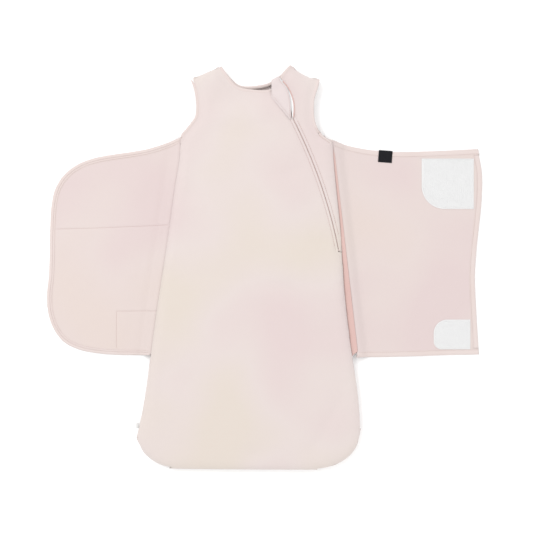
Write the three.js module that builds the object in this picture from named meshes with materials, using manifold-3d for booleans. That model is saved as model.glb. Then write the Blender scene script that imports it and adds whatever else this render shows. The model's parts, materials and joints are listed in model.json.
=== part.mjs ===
// A baby's sleeping bag with two swaddle wings, laid flat on its back with the wings spread.
// Millimetres. +X is the right side as seen from above, +Y runs towards the neck, +Z is up.
// The origin is the middle of the base it lies on.
import * as THREE from 'three';
import { mergeVertices } from 'three/addons/utils/BufferGeometryUtils.js';
import Module from 'manifold-3d';

const wasm = await Module();
wasm.setup();

// ---- Thicknesses and heights ----
const GAP = 0.3; // air between pieces that lie against each other
const KNIT = 1.2; // shell and lining fabric
const WADDING = 5; // filling of the back and of the front
const CAVITY = 8; // flat space for the baby between back and front
const BINDING_PROUD = 0.2; // how far a binding stands out of the layers it wraps
const WING_KNIT = 1.8; // each layer of a wing
const PAD = 1.5; // hook patches and loop panels
const LABEL = 0.8;
const CHIN_GUARD_BASE = 26; // above the zip pull, which it covers

// ---- Widths in plan ----
const BINDING = 6.5; // neck and armholes
const WING_EDGE = 10.5; // binding and hems of the wings
const SEAM = 6;
const LIP_SETBACK = 1.5; // from the zip's middle to each fabric lip
const LINING_SETBACK = 5.5;
const WADDING_SETBACK = 14;
const UNDERLAP_SETBACK = 5;
const ROOT_CLEARANCE = 3; // from a wing's fold line to its sewn-on edge
const RUN_ON = 12; // how far a cutting strip runs past its line's ends
const OVERRUN = 8; // and how far it lies outside the line

// ---- Zip: one arc, bowed towards the right side. Angles in degrees about its centre ----
const ZIP_CENTRE = [-730, -140.4];
const ZIP_RADIUS = 875;
const ZIP_TOP = 30.2;
const ZIP_BOTTOM = 11;
const PAST_NECK = 33; // an angle beyond the neck edge, where the split between the panels starts
const SLIDER_ANGLE = 29.55;
const STOP_LENGTH = 0.25;
const STOP_GAP = 0.02;
const TAPE_END = 0.3; // the tapes and coils stop short of the zip's lower end
const COIL_END = 0.4;
const COIL = [0.8, 2.9]; // from and to, off the zip's middle
const TAPE = [3.2, 13];
const TAPE_HEIGHTS = [19.2, 19.8];
const COIL_HEIGHTS = [18.7, 20.3];
const UNDERLAP_HEIGHTS = [20.4, 21.6];

// ---- Corners of the bag ----
const LEFT_UNDERARM = [-144.4, 230.5];
const LEFT_SHOULDER = [-128.5, 326];
const LEFT_NECK = [-74.4, 349];
const RIGHT_NECK = [44, 351.4];
const RIGHT_SHOULDER = [95.8, 326];
const RIGHT_UNDERARM = [98.4, 232];
const RIGHT_SIDE_TOP = [118, 217];
const RIGHT_CORNER = [165.5, -268];
const BOTTOM_RIGHT = [70, -351.2];
const BOTTOM_LEFT = [-145, -349.5];
const LEFT_CORNER = [-220, -288];

// ---- Fold lines of the wings ----
const LEFT_FOLD = [[-197.4, -153.5], [-142.6, 226.6]];
const RIGHT_FOLD = [[116, 221], [160, -157]];

// ---- Finishes ----
function finish(color, roughness, metalness = 0) {
  return new THREE.MeshStandardMaterial({ color, roughness, metalness });
}
const shellKnit = finish(0xf0e2df, 0.9);
const liningKnit = finish(0xf7f3f1, 0.9);
const wadding = finish(0xfbfbf9, 1);
const zipTape = finish(0xf3e6e3, 0.85);
const zipCoil = finish(0xf1dfdc, 0.5);
const sliderMetal = finish(0xd9d4d2, 0.35, 0.8);
const hookTape = finish(0xf0f0f0, 0.75);
const loopTape = finish(0xf1e8e5, 0.95);
const blackTape = finish(0x2a2a2e, 0.8);
const labelTape = finish(0xf8f6f4, 0.8);

// ---- Lines and outlines, as lists of [x, y] ----
function curve(steps, ...points) {
  const spline = new THREE.SplineCurve(points.map(([x, y]) => new THREE.Vector2(x, y)));
  return spline.getSpacedPoints(steps).map((p) => [p.x, p.y]);
}

/** Lines that follow each other, with each shared end written once. */
function join(...lines) {
  const points = lines.flatMap((line, i) => (i ? line.slice(1) : line));
  const [first, last] = [points[0], points.at(-1)];
  return Math.hypot(first[0] - last[0], first[1] - last[1]) < 0.01 ? points.slice(0, -1) : points;
}

/** A line moved to its right by a distance, or to its left where that is negative. */
function beside(line, distance) {
  return line.map(([x, y], i) => {
    const before = line[Math.max(i - 1, 0)];
    const after = line[Math.min(i + 1, line.length - 1)];
    const [along, up] = [after[0] - before[0], after[1] - before[1]];
    const shift = distance / Math.hypot(along, up);
    return [x + up * shift, y - along * shift];
  });
}

/** A line made longer at both ends, along its end directions. */
function lengthened(line, extra) {
  const past = (end, next) => {
    const [along, up] = [end[0] - next[0], end[1] - next[1]];
    const share = extra / Math.hypot(along, up);
    return [end[0] + along * share, end[1] + up * share];
  };
  return [past(line[0], line[1]), ...line, past(line.at(-1), line.at(-2))];
}

/** The outline of a strip along a line, between two distances to its right. */
function strip(line, from, to) {
  return [...beside(line, from), ...beside(line, to).reverse()];
}

/** The zip's arc, moved outward by a distance, from one angle down to another. */
function zipArc(outward, from = ZIP_TOP, to = ZIP_BOTTOM, steps = 12) {
  return Array.from({ length: steps + 1 }, (_, i) => {
    const angle = THREE.MathUtils.degToRad(from + ((to - from) * i) / steps);
    const radius = ZIP_RADIUS + outward;
    return [ZIP_CENTRE[0] + radius * Math.cos(angle), ZIP_CENTRE[1] + radius * Math.sin(angle)];
  });
}

function zipStrip([inner, outer], from, to, steps) {
  return [...zipArc(inner, from, to, steps), ...zipArc(outer, from, to, steps).reverse()];
}

/** Everything to the right of the zip and above its lower end. */
function rightOfZip(outward, bottom = ZIP_BOTTOM) {
  const edge = zipArc(outward, PAST_NECK, bottom);
  return [...edge, [300, edge.at(-1)[1]], [300, 400], [edge[0][0], 400]];
}

// ---- Solids ----
function toSolid(geometry) {
  geometry.deleteAttribute('normal');
  geometry.deleteAttribute('uv');
  const merged = mergeVertices(geometry, 1e-4);
  const mesh = new wasm.Mesh({
    numProp: 3,
    vertProperties: Float32Array.from(merged.attributes.position.array),
    triVerts: Uint32Array.from(merged.index.array),
  });
  return new wasm.Manifold(mesh);
}

function slab(outline, [low, high]) {
  const shape = new THREE.Shape(outline.map(([x, y]) => new THREE.Vector2(x, y)));
  const plate = new THREE.ExtrudeGeometry(shape, { depth: high - low, bevelEnabled: false });
  return toSolid(plate.translate(0, 0, low));
}

function block([x, y, z], [width, length, height]) {
  return toSolid(new THREE.BoxGeometry(width, length, height).translate(x, y, z));
}

function rectangle([left, right], [bottom, top]) {
  return [[left, bottom], [right, bottom], [right, top], [left, top]];
}

function piece(group, name, solid, material) {
  const mesh = solid.getMesh();
  const geometry = new THREE.BufferGeometry();
  geometry.setAttribute('position', new THREE.BufferAttribute(mesh.vertProperties, 3));
  geometry.setIndex(new THREE.BufferAttribute(mesh.triVerts, 1));
  geometry.computeVertexNormals();
  const part = new THREE.Mesh(geometry, material);
  part.name = name;
  group.add(part);
}

/** Heights of layers laid on each other from a start height, with GAP between them. */
function layers(start, ...thicknesses) {
  let low = start;
  return thicknesses.map((thickness) => {
    const heights = [low, low + thickness];
    low += thickness + GAP;
    return heights;
  });
}

// ---- Edges of the bag, walked clockwise, so that the fabric is on the right ----
const leftArmhole = curve(
  8, LEFT_UNDERARM, [-131, 247], [-120.5, 262], [-119, 283], [-122, 307], LEFT_SHOULDER,
);
const leftShoulder = [LEFT_SHOULDER, LEFT_NECK];
const backNeck = curve(
  14, LEFT_NECK, [-59, 330], [-43, 317.5], [-20, 316.5], [6, 321.5], [27, 335], RIGHT_NECK,
);
const frontNeck = curve(
  14, LEFT_NECK, [-60, 328], [-46, 314.5], [-22, 309.5], [6, 308.5], [20, 316], [30, 336], RIGHT_NECK,
);
const rightShoulder = curve(3, RIGHT_NECK, [58, 339.5], [76, 330], RIGHT_SHOULDER);
const rightArmhole = curve(
  8, RIGHT_SHOULDER, [92.5, 311], [86.5, 292], [86, 262], [91, 244], RIGHT_UNDERARM,
);
const rightUnderarm = [RIGHT_UNDERARM, RIGHT_SIDE_TOP];
const rightSide = curve(
  12, RIGHT_SIDE_TOP, [121.7, 164], [132.3, 57.5], [136, -20], [144, -100], [155.5, -175], [163.5, -235],
  RIGHT_CORNER,
);
const rightCorner = curve(
  7, RIGHT_CORNER, [163.5, -297], [153, -320.5], [131, -338.5], [103, -348], BOTTOM_RIGHT,
);
const leftCorner = curve(6, BOTTOM_LEFT, [-180, -342.5], [-203.5, -327.5], [-216.5, -310], LEFT_CORNER);
const bottomEdge = join(rightCorner, [BOTTOM_RIGHT, BOTTOM_LEFT], leftCorner);
const leftSide = curve(
  12, LEFT_CORNER, [-211, -247], [-203, -196], [-190, -92], [-170, 39], [-158, 125], [-146, 203],
  LEFT_UNDERARM,
);

function bagOutline(neck) {
  const upper = join(leftArmhole, leftShoulder, neck, rightShoulder, rightArmhole, rightUnderarm);
  return join(upper, rightSide, bottomEdge, leftSide);
}
const backOutline = bagOutline(backNeck);
const frontOutline = bagOutline(frontNeck);

// ---- Heights of the bag's layers ----
const [backShellAt, backWaddingAt, backLiningAt] = layers(0, KNIT, WADDING, KNIT);
const cavityAt = [backLiningAt[1] + GAP, backLiningAt[1] + CAVITY - GAP];
const [frontLiningAt, frontWaddingAt, frontShellAt] = layers(cavityAt[1] + GAP, KNIT, WADDING, KNIT);
const backBindingAt = [backShellAt[0], backLiningAt[1] + BINDING_PROUD];
const frontBindingAt = [frontLiningAt[0] - BINDING_PROUD, frontShellAt[1] + BINDING_PROUD];
const wholeHeight = [backBindingAt[0], frontBindingAt[1]];

/** A solid of the bag without the room that the neck's and armholes' bindings take. */
function insideBindings(solid, neck) {
  return [neck, leftArmhole, rightArmhole].reduce((rest, edge) => {
    const bound = strip(lengthened(edge, 12), -2, BINDING + GAP);
    return rest.subtract(slab(bound, [wholeHeight[0] - 1, wholeHeight[1] + 1]));
  }, solid);
}

function addBack(bag) {
  const backLayer = (heights) => insideBindings(slab(backOutline, heights), backNeck);
  piece(bag, 'back_shell', backLayer(backShellAt), shellKnit);
  piece(bag, 'back_wadding', backLayer(backWaddingAt), wadding);
  piece(bag, 'back_lining', backLayer(backLiningAt), liningKnit);
}

// Where the side panel stops short of the zip, behind the chin guard.
const underlapEdge = curve(9, [48, 252], [51, 266], [50.6, 286], [44, 305.5], [33, 321.5], [18, 338]);
const underlapArea = [...underlapEdge, [0, 338], [0, 300]];

function addFront(bag) {
  const frontLayer = (heights) => insideBindings(slab(frontOutline, heights), frontNeck);
  const mainPanel = (heights, setback) => frontLayer(heights).subtract(slab(rightOfZip(-setback), heights));
  const sidePanel = (heights, setback) => {
    const beyondZip = slab(rightOfZip(setback, ZIP_BOTTOM + 0.03), heights);
    return frontLayer(heights).intersect(beyondZip).subtract(slab(underlapArea, heights));
  };
  piece(bag, 'front_lining', mainPanel(frontLiningAt, LINING_SETBACK), liningKnit);
  piece(bag, 'front_wadding', mainPanel(frontWaddingAt, WADDING_SETBACK), wadding);
  piece(bag, 'front_shell', mainPanel(frontShellAt, LIP_SETBACK), shellKnit);
  piece(bag, 'side_panel_lining', sidePanel(frontLiningAt, LINING_SETBACK), liningKnit);
  piece(bag, 'side_panel_wadding', sidePanel(frontWaddingAt, WADDING_SETBACK), wadding);
  piece(bag, 'side_panel_shell', sidePanel(frontShellAt, LIP_SETBACK), shellKnit);
}

/** The seams close the space between back and front. */
function addSeams(bag) {
  const seam = (edge) => insideBindings(slab(strip(edge, 0, SEAM), cavityAt), frontNeck);
  piece(bag, 'left_shoulder_seam', seam(leftShoulder), shellKnit);
  piece(bag, 'right_shoulder_seam', seam(rightShoulder), shellKnit);
  piece(bag, 'left_side_seam', seam(leftSide), shellKnit);
  piece(bag, 'right_side_seam', seam(join(rightUnderarm, rightSide)), shellKnit);
  const roomFor = (side) => slab(strip(side, -1, SEAM + GAP), cavityAt);
  const bottom = seam(bottomEdge.slice(1, -1));
  piece(bag, 'bottom_seam', bottom.subtract(roomFor(leftSide)).subtract(roomFor(rightSide)), shellKnit);
}

/** A binding round an armhole: a strip on the back and one on the front, closed at both ends. */
function armholeRing(edge) {
  const line = lengthened(edge, RUN_ON);
  const bound = (part, heights) => slab(strip(part, 0, BINDING), heights);
  const strips = bound(line, backBindingAt).add(bound(line, frontBindingAt));
  const ends = bound(line.slice(0, 3), wholeHeight).add(bound(line.slice(-3), wholeHeight));
  return strips.add(ends).intersect(slab(backOutline, wholeHeight));
}

function addBindings(bag) {
  piece(bag, 'left_armhole_binding', armholeRing(leftArmhole), shellKnit);
  piece(bag, 'right_armhole_binding', armholeRing(rightArmhole), shellKnit);

  const neckBinding = (neck, outline, heights) => {
    return slab(strip(lengthened(neck, RUN_ON), 0, BINDING), heights).intersect(slab(outline, heights));
  };
  piece(bag, 'neck_binding_back', neckBinding(backNeck, backOutline, backBindingAt), shellKnit);
  const front = neckBinding(frontNeck, frontOutline, frontBindingAt);
  const leftPart = front.subtract(slab(rightOfZip(-LIP_SETBACK), frontBindingAt));
  const rightPart = front.intersect(slab(rightOfZip(LIP_SETBACK), frontBindingAt));
  piece(bag, 'neck_binding_front', leftPart, shellKnit);
  piece(bag, 'neck_binding_right', rightPart.subtract(slab(underlapArea, frontBindingAt)), shellKnit);
}

function addZip(bag) {
  const withinBag = slab(frontOutline, TAPE_HEIGHTS);
  for (const [side, sign] of [['left', -1], ['right', 1]]) {
    const tape = zipStrip(TAPE.map((d) => d * sign), ZIP_TOP, ZIP_BOTTOM + TAPE_END);
    const coil = zipStrip(COIL.map((d) => d * sign), ZIP_TOP, ZIP_BOTTOM + COIL_END);
    const stop = zipStrip(COIL.map((d) => d * sign), ZIP_TOP + STOP_GAP + STOP_LENGTH, ZIP_TOP + STOP_GAP, 1);
    piece(bag, `zip_tape_${side}`, slab(tape, TAPE_HEIGHTS).intersect(withinBag), zipTape);
    piece(bag, `zip_coil_${side}`, slab(coil, COIL_HEIGHTS), zipCoil);
    piece(bag, `zip_top_stop_${side}`, slab(stop, COIL_HEIGHTS), sliderMetal);
  }
  const bottomStopTop = ZIP_BOTTOM + COIL_END - 0.03;
  const bottomStop = zipStrip([-COIL[1], COIL[1]], bottomStopTop, bottomStopTop - STOP_LENGTH, 1);
  piece(bag, 'zip_bottom_stop', slab(bottomStop, COIL_HEIGHTS), sliderMetal);

  const underlap = slab(underlapArea, UNDERLAP_HEIGHTS).intersect(slab(frontOutline, UNDERLAP_HEIGHTS));
  const beyondZip = slab(rightOfZip(UNDERLAP_SETBACK), UNDERLAP_HEIGHTS);
  piece(bag, 'neck_underlap', underlap.intersect(beyondZip), liningKnit);
}

function addLabels(bag) {
  const sideEdge = -219.5;
  const sideLabel = block([sideEdge - 1.9, -275, 12], [2.6, 9, LABEL]);
  piece(bag, 'side_label', sideLabel, labelTape);
  piece(bag, 'care_label', block([-157, -60, cavityAt[0] + LABEL / 2], [28, 50, LABEL]), labelTape);
}

/** The slider, modelled with the zip along its own Y axis and then turned onto the arc. */
function addSlider(parent) {
  const slider = new THREE.Group();
  const [x, y] = zipArc(0, SLIDER_ANGLE, SLIDER_ANGLE, 1)[0];
  slider.position.set(x, y, 0);
  slider.rotation.z = THREE.MathUtils.degToRad(SLIDER_ANGLE);
  parent.add(slider);

  const cheek = [[-3, -6], [3, -6], [4.2, 0], [4.2, 6], [1.5, 6], [0, 5], [-1.5, 6], [-4.2, 6], [-4.2, 0]];
  const cheeks = slab(cheek, [17.5, 18.4]).add(slab(cheek, [20.6, 21.8]));
  const wedge = block([0, 0, 19.5], [1, 6, 2.6]);
  const lug = block([0, 0, 23.5], [1.6, 4, 4.2]);
  piece(slider, 'zip_slider', cheeks.add(wedge).add(lug), sliderMetal);

  const tab = new THREE.Shape();
  tab.moveTo(3.2, 4).lineTo(-3.2, 4).lineTo(-2.6, -12);
  tab.absarc(0, -14, 2.6, Math.PI, 2 * Math.PI);
  const outline = tab.getPoints(6).map((p) => [p.x, p.y]);
  const eye = block([0, 0, 25], [2.6, 5, 3]);
  piece(slider, 'zip_pull', slab(outline, [24.4, 25.6]).subtract(eye), sliderMetal);
}

function addChinGuard(parent) {
  const freeEdge = curve(8, [24, 331], [30, 320.5], [38, 311], [43, 297], [45.2, 281], [45.2, 257]);
  const outline = join([[11.9, 297.4], [11.9, 324.6], [24, 331]], freeEdge);
  const [liningAt, frontAt] = layers(CHIN_GUARD_BASE, KNIT, KNIT);
  piece(parent, 'chin_guard_lining', slab(outline, liningAt), liningKnit);
  piece(parent, 'chin_guard_front', slab(outline, frontAt), shellKnit);
}

function addLeftWing(parent) {
  const [rootBottom, rootTop] = beside(LEFT_FOLD, -ROOT_CLEARANCE);
  const edge = curve(
    22, rootBottom, [-284, -150.8], [-342, -136], [-371, -102], [-380, -58], [-376, -4], [-374, 80],
    [-367, 133], [-342, 169], [-297, 190.7], [-204, 206.7], rootTop,
  );
  const [panelAt, backAt, frontAt] = layers(0, PAD, WING_KNIT, WING_KNIT);
  const bindingAt = [backAt[0], frontAt[1] + BINDING_PROUD];
  const layer = (heights) => {
    const cleared = [heights[0] - 1, heights[1] + 1];
    const bound = slab(strip(lengthened(edge, RUN_ON), -OVERRUN, WING_EDGE + GAP), cleared);
    return slab(edge, heights).subtract(bound);
  };
  piece(parent, 'left_wing_back', layer(backAt), shellKnit);
  piece(parent, 'left_wing_front', layer(frontAt), shellKnit);
  const binding = slab(strip(lengthened(edge, 6), 0, WING_EDGE), bindingAt);
  piece(parent, 'left_wing_binding', binding.intersect(slab(edge, bindingAt)), shellKnit);

  const upperArea = slab([[-400, 66], [-140, 76], [-140, 240], [-400, 240]], panelAt);
  piece(parent, 'left_loop_panel_upper', layer(panelAt).intersect(upperArea), loopTape);
  piece(parent, 'left_loop_panel_lower', slab(rectangle([-258.6, -203], [-141, -76.4]), panelAt), loopTape);
}

function addRightWing(parent) {
  const [rootTop, rootBottom] = beside(RIGHT_FOLD, -ROOT_CLEARANCE);
  const top = curve(8, rootTop, [149, 211.5], [194.5, 203.6], [240, 201.5], [310, 203.5], [372.7, 206.7]);
  const end = curve(
    8, [372.7, 206.7], [378.3, 172], [380, 137.6], [375.5, 85], [367.5, 0], [368.5, -60], [374, -152],
  );
  const bottom = curve(4, [374, -152], [320, -153], [229, -156], rootBottom);
  const outline = join(top, end, bottom);
  const [backAt, frontAt] = layers(0, WING_KNIT, WING_KNIT);
  const hemAt = [backAt[0], frontAt[1] + BINDING_PROUD];
  const hem = (line, width) => slab(strip(line, 0, width), hemAt);
  const cleared = [hemAt[0] - 1, hemAt[1] + 1];
  const beyond = (line) => slab(strip(lengthened(line, RUN_ON + 3), -OVERRUN, WING_EDGE + GAP), cleared);

  const layer = (heights) => {
    return [top, end, bottom].reduce((rest, line) => rest.subtract(beyond(line)), slab(outline, heights));
  };
  piece(parent, 'right_wing_back', layer(backAt), shellKnit);
  piece(parent, 'right_wing_front', layer(frontAt), shellKnit);
  const whole = slab(outline, hemAt);
  piece(parent, 'right_wing_top_hem', hem(lengthened(top, 3), WING_EDGE).intersect(whole), shellKnit);
  piece(parent, 'right_wing_bottom_hem', hem(lengthened(bottom, 3), WING_EDGE).intersect(whole), shellKnit);
  const endBand = hem(end, WING_EDGE).subtract(beyond(top)).subtract(beyond(bottom));
  piece(parent, 'right_wing_end_band', endBand, shellKnit);

  const patchLow = hemAt[1] + GAP;
  const patchAt = [patchLow, patchLow + PAD];
  const rounded = ([left, right], [low, high], lowRadius, highRadius) => {
    const patch = new THREE.Shape();
    patch.moveTo(right, low).lineTo(right, high).lineTo(left + highRadius, high);
    patch.absarc(left + highRadius, high - highRadius, highRadius, Math.PI / 2, Math.PI);
    patch.absarc(left + lowRadius, low + lowRadius, lowRadius, Math.PI, 1.5 * Math.PI);
    return slab(patch.getPoints(6).map((p) => [p.x, p.y]), patchAt);
  };
  piece(parent, 'hook_patch_upper', rounded([274, 365], [102, 190], 40, 2), hookTape);
  piece(parent, 'hook_patch_lower', rounded([295, 359], [-143, -91], 14, 24), hookTape);

  const tab = new THREE.Group();
  tab.position.set(210.5, 193.5, patchLow + LABEL / 2);
  tab.rotation.z = THREE.MathUtils.degToRad(-4.5);
  parent.add(tab);
  piece(tab, 'black_tab', block([0, 0, 0], [24, 21, LABEL]), blackTape);
}

const sleepingBag = new THREE.Group();
for (const add of [addBack, addFront, addSeams, addBindings, addZip, addLabels]) add(sleepingBag);
for (const add of [addSlider, addChinGuard, addLeftWing, addRightWing]) add(sleepingBag);

export default sleepingBag;
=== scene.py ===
import json
import math

import bpy
import numpy as np
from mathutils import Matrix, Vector, noise
from mathutils.bvhtree import BVHTree
from mathutils.geometry import delaunay_2d_cdt


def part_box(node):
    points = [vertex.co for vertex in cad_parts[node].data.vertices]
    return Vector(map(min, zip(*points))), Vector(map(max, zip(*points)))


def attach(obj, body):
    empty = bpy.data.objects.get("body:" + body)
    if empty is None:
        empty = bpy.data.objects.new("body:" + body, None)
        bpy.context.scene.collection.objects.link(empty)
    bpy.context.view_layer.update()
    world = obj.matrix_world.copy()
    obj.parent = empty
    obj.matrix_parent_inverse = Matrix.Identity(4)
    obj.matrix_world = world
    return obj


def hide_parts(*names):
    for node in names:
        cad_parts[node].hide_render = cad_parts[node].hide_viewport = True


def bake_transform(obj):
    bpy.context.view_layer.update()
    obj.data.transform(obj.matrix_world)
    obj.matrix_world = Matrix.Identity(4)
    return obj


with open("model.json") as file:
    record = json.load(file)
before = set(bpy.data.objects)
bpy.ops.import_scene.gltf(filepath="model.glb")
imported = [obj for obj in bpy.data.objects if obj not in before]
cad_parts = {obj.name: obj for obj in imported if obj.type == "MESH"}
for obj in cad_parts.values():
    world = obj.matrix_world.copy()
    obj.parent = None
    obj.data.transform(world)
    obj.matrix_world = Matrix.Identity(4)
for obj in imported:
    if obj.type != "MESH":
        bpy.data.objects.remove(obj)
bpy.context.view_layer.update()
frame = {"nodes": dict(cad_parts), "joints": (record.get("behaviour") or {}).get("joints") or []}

MM = 0.001

# ---------------------------------------------------------------- sizes, in metres
FRONT_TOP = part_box("front_shell")[1].z          # plateau of the padded front
FRONT_ROUND = 17 * MM                           # how far in the front's rounded edge reaches
BACK_ROUND = 9 * MM
SHELL = 1.1 * MM
LINING = 0.9 * MM
FILLED = 7.8 * MM                               # shell, wadding and lining together
WING_THICK = 2.3 * MM
LIP_WIDTH = 5.2 * MM                            # zip lip, from its edge to its stitching
STITCH, STITCH_GAP = 2.5 * MM, 0.9 * MM
NOTCH = 2.6 * MM                                # reach of the cut-out round the armhole binding's sewn end
BINDING_GROWS, ZIP_GROWS = 2.6 * MM, 0.75 * MM  # how far a shell reaches under its binding, towards the zip

JOINTS = {j["name"]: j for j in frame["joints"]}
ZIP_CENTRE = np.array(JOINTS["zip_slide"]["pos_m"][:2])


def joint_line(name):
    """A point on a joint's axis and the axis, in plan."""
    joint = JOINTS[name]
    axis = np.array(joint["axis"][:2])
    return np.array(joint["pos_m"][:2]), axis / np.linalg.norm(axis)


# ---------------------------------------------------------------- lines in plan
def outline(node, low=False):
    """The longest edge loop of a node's top face (or bottom face), as points in plan."""
    mesh = frame["nodes"][node].data
    side = -1 if low else 1
    key = lambda v: (round(v.x, 5), round(v.y, 5), round(v.z, 5))
    faces = [f for f in mesh.polygons if f.normal.z * side > 0.9]
    edge_z = max(side * mesh.vertices[f.vertices[0]].co.z for f in faces)
    count = {}
    for f in faces:
        if side * mesh.vertices[f.vertices[0]].co.z < edge_z - 0.05 * MM:
            continue
        ring = [key(mesh.vertices[i].co) for i in f.vertices]
        for a, b in zip(ring, ring[1:] + ring[:1]):
            if count.pop((b, a), None) is None:
                count[(a, b)] = True
    follow = dict(count.keys())
    loops = []
    while follow:
        start = next(iter(follow))
        loop, at = [], start
        while at in follow:
            loop.append(at)
            at = follow.pop(at)
        loops.append(np.array(loop)[:, :2])
    loop = max(loops, key=length_of)
    return loop if (area_of(loop) > 0) else loop[::-1]


def area_of(loop):
    x, y = loop[:, 0], loop[:, 1]
    return 0.5 * float((x * np.roll(y, -1) - y * np.roll(x, -1)).sum())


def panel_outline(node):
    """A bag panel's outline, without the notch round the right armhole binding's sewn end."""
    ring = outline("right_armhole_binding")
    ends = ring[np.argsort(ring[:, 1])[:2]]
    loop = outline(node)
    apart = np.linalg.norm(loop[:, None] - ends[None], axis=2).min(1)
    return loop[apart > NOTCH]


def corners_of(loop, degrees=28):
    a = loop - np.roll(loop, 1, axis=0)
    b = np.roll(loop, -1, axis=0) - loop
    turn = np.degrees(np.arctan2(a[:, 0] * b[:, 1] - a[:, 1] * b[:, 0], (a * b).sum(1)))
    return [i for i in range(len(loop)) if abs(turn[i]) > degrees]


def smooth_line(points, spacing):
    """A Catmull-Rom line through points, at even spacing, both ends kept."""
    p = np.vstack([2 * points[0] - points[1], points, 2 * points[-1] - points[-2]])
    fine = []
    for i in range(1, len(p) - 2):
        n = max(2, int(np.linalg.norm(p[i + 1] - p[i]) / (0.4 * MM)))
        t = np.linspace(0, 1, n, endpoint=False)[:, None]
        a, b, c, d = p[i - 1], p[i], p[i + 1], p[i + 2]
        fine.append(0.5 * (2 * b + (c - a) * t + (2 * a - 5 * b + 4 * c - d) * t**2
                           + (3 * b - a - 3 * c + d) * t**3))
    fine = np.vstack(fine + [points[-1:]])
    return resample(fine, spacing)


def resample(line, spacing):
    run = np.concatenate([[0], np.cumsum(np.linalg.norm(np.diff(line, axis=0), axis=1))])
    n = max(1, round(run[-1] / spacing))
    at = np.linspace(0, run[-1], n + 1)
    return np.column_stack([np.interp(at, run, line[:, k]) for k in range(line.shape[1])])


def stretches(loop, degrees=28):
    """The loop's open lines from corner to corner."""
    found = corners_of(loop, degrees)
    if not found:
        return [np.vstack([loop, loop[:1]])]
    lines = []
    for a, b in zip(found, found[1:] + [found[0] + len(loop)]):
        lines.append(np.array([loop[i % len(loop)] for i in range(a, b + 1)]))
    return lines


def smooth_loop(loop, spacing, degrees=28):
    parts = [smooth_line(line, spacing)[:-1] for line in stretches(loop, degrees)]
    return np.vstack(parts)


def nearest(points, line, closed=False):
    """Each point's distance to a line, and how far along the line its nearest point is."""
    ends = np.vstack([line, line[:1]]) if closed else line
    ax, ay = ends[:-1, 0], ends[:-1, 1]
    bx, by = ends[1:, 0] - ax, ends[1:, 1] - ay
    length2 = np.maximum(bx * bx + by * by, 1e-18)
    run = np.concatenate([[0], np.cumsum(np.sqrt(length2))])[:-1]
    best, along = np.empty(len(points)), np.empty(len(points))
    chunk = max(1, 400000 // len(ax))
    for start in range(0, len(points), chunk):
        px = points[start:start + chunk, 0:1] - ax
        py = points[start:start + chunk, 1:2] - ay
        t = np.clip((px * bx + py * by) / length2, 0, 1)
        px -= t * bx
        py -= t * by
        d = px * px + py * py
        k = d.argmin(1)
        rows = np.arange(len(k))
        best[start:start + chunk] = np.sqrt(d[rows, k])
        along[start:start + chunk] = run[k] + t[rows, k] * np.sqrt(length2[k])
    return best, along


def length_of(line):
    return np.linalg.norm(np.diff(line, axis=0), axis=1).sum()


def inside(points, loop):
    x, y = points[:, 0], points[:, 1]
    a, b = loop, np.roll(loop, -1, axis=0)
    odd = np.zeros(len(points), bool)
    for (ax, ay), (bx, by) in zip(a, b):
        crosses = (ay > y) != (by > y)
        if crosses.any():
            odd ^= crosses & (x < (bx - ax) * (y - ay) / (by - ay + 1e-30) + ax)
    return odd


def normals_of(line, closed):
    """Unit normals to the left of each point of a line."""
    if closed:
        t = np.roll(line, -1, axis=0) - np.roll(line, 1, axis=0)
    else:
        t = np.gradient(line, axis=0)
    t /= np.maximum(np.linalg.norm(t, axis=1), 1e-12)[:, None]
    return np.column_stack([-t[:, 1], t[:, 0]])


# ---------------------------------------------------------------- meshes
CREASE_ROWS = (0, 1.0 * MM, -1.0 * MM, 2.4 * MM, -2.4 * MM, 4.4 * MM, -4.4 * MM)


def plan_mesh(loop, spacing, rings=(), creases=()):
    """Points and triangles that fill a loop: rings that follow its edge, rows along creases, then a grid."""
    n = normals_of(loop, True)
    sets = [loop]
    for depth in rings:
        ring = loop + n * depth
        d, _ = nearest(ring, loop, True)
        ring = ring[(d > depth * 0.93) & inside(ring, loop)]
        sets.append(ring)
    for crease in creases:
        line = resample(crease, 2.4 * MM)
        for row in CREASE_ROWS:
            ring = beside(line, row)
            d, _ = nearest(ring, loop, True)
            sets.append(ring[(d > (max(rings) if rings else 0) + 1.2 * MM) & inside(ring, loop)])
    low, high = loop.min(0), loop.max(0)
    rows = np.arange(low[1], high[1], spacing * 0.866)
    grid = [
        np.column_stack([np.arange(low[0] + (i % 2) * spacing / 2, high[0], spacing),
                         np.full(len(np.arange(low[0] + (i % 2) * spacing / 2, high[0], spacing)), y)])
        for i, y in enumerate(rows)
    ]
    grid = np.vstack(grid)
    grid = grid[inside(grid, loop)]
    d, _ = nearest(grid, loop, True)
    grid = grid[d > (max(rings) if rings else 0) + spacing * 0.55]
    for crease in creases:
        grid = grid[nearest(grid, crease)[0] > CREASE_ROWS[-2] + spacing * 0.5]
    points = np.vstack(sets + [grid])
    k = len(loop)
    edges = [(i, (i + 1) % k) for i in range(k)]
    verts, _, faces, origin, _, _ = delaunay_2d_cdt([Vector(p) for p in points], edges, [], 1, 1e-7)
    out = np.array([v[:] for v in verts])
    where = {}
    for i, came in enumerate(origin):
        for j in came:
            where.setdefault(j, i)
    rim = [where[i] for i in range(k)]
    tris = []
    for f in faces:
        for j in range(1, len(f) - 1):
            tris.append((f[0], f[j], f[j + 1]))
    return out, tris, rim


def new_object(name, verts, faces, material=None):
    mesh = bpy.data.meshes.new(name)
    mesh.from_pydata([tuple(v) for v in verts], [], faces)
    mesh.validate()
    mesh.polygons.foreach_set("use_smooth", [True] * len(mesh.polygons))
    obj = bpy.data.objects.new(name, mesh)
    bpy.context.scene.collection.objects.link(obj)
    if material:
        obj.data.materials.append(material)
    return obj


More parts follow.
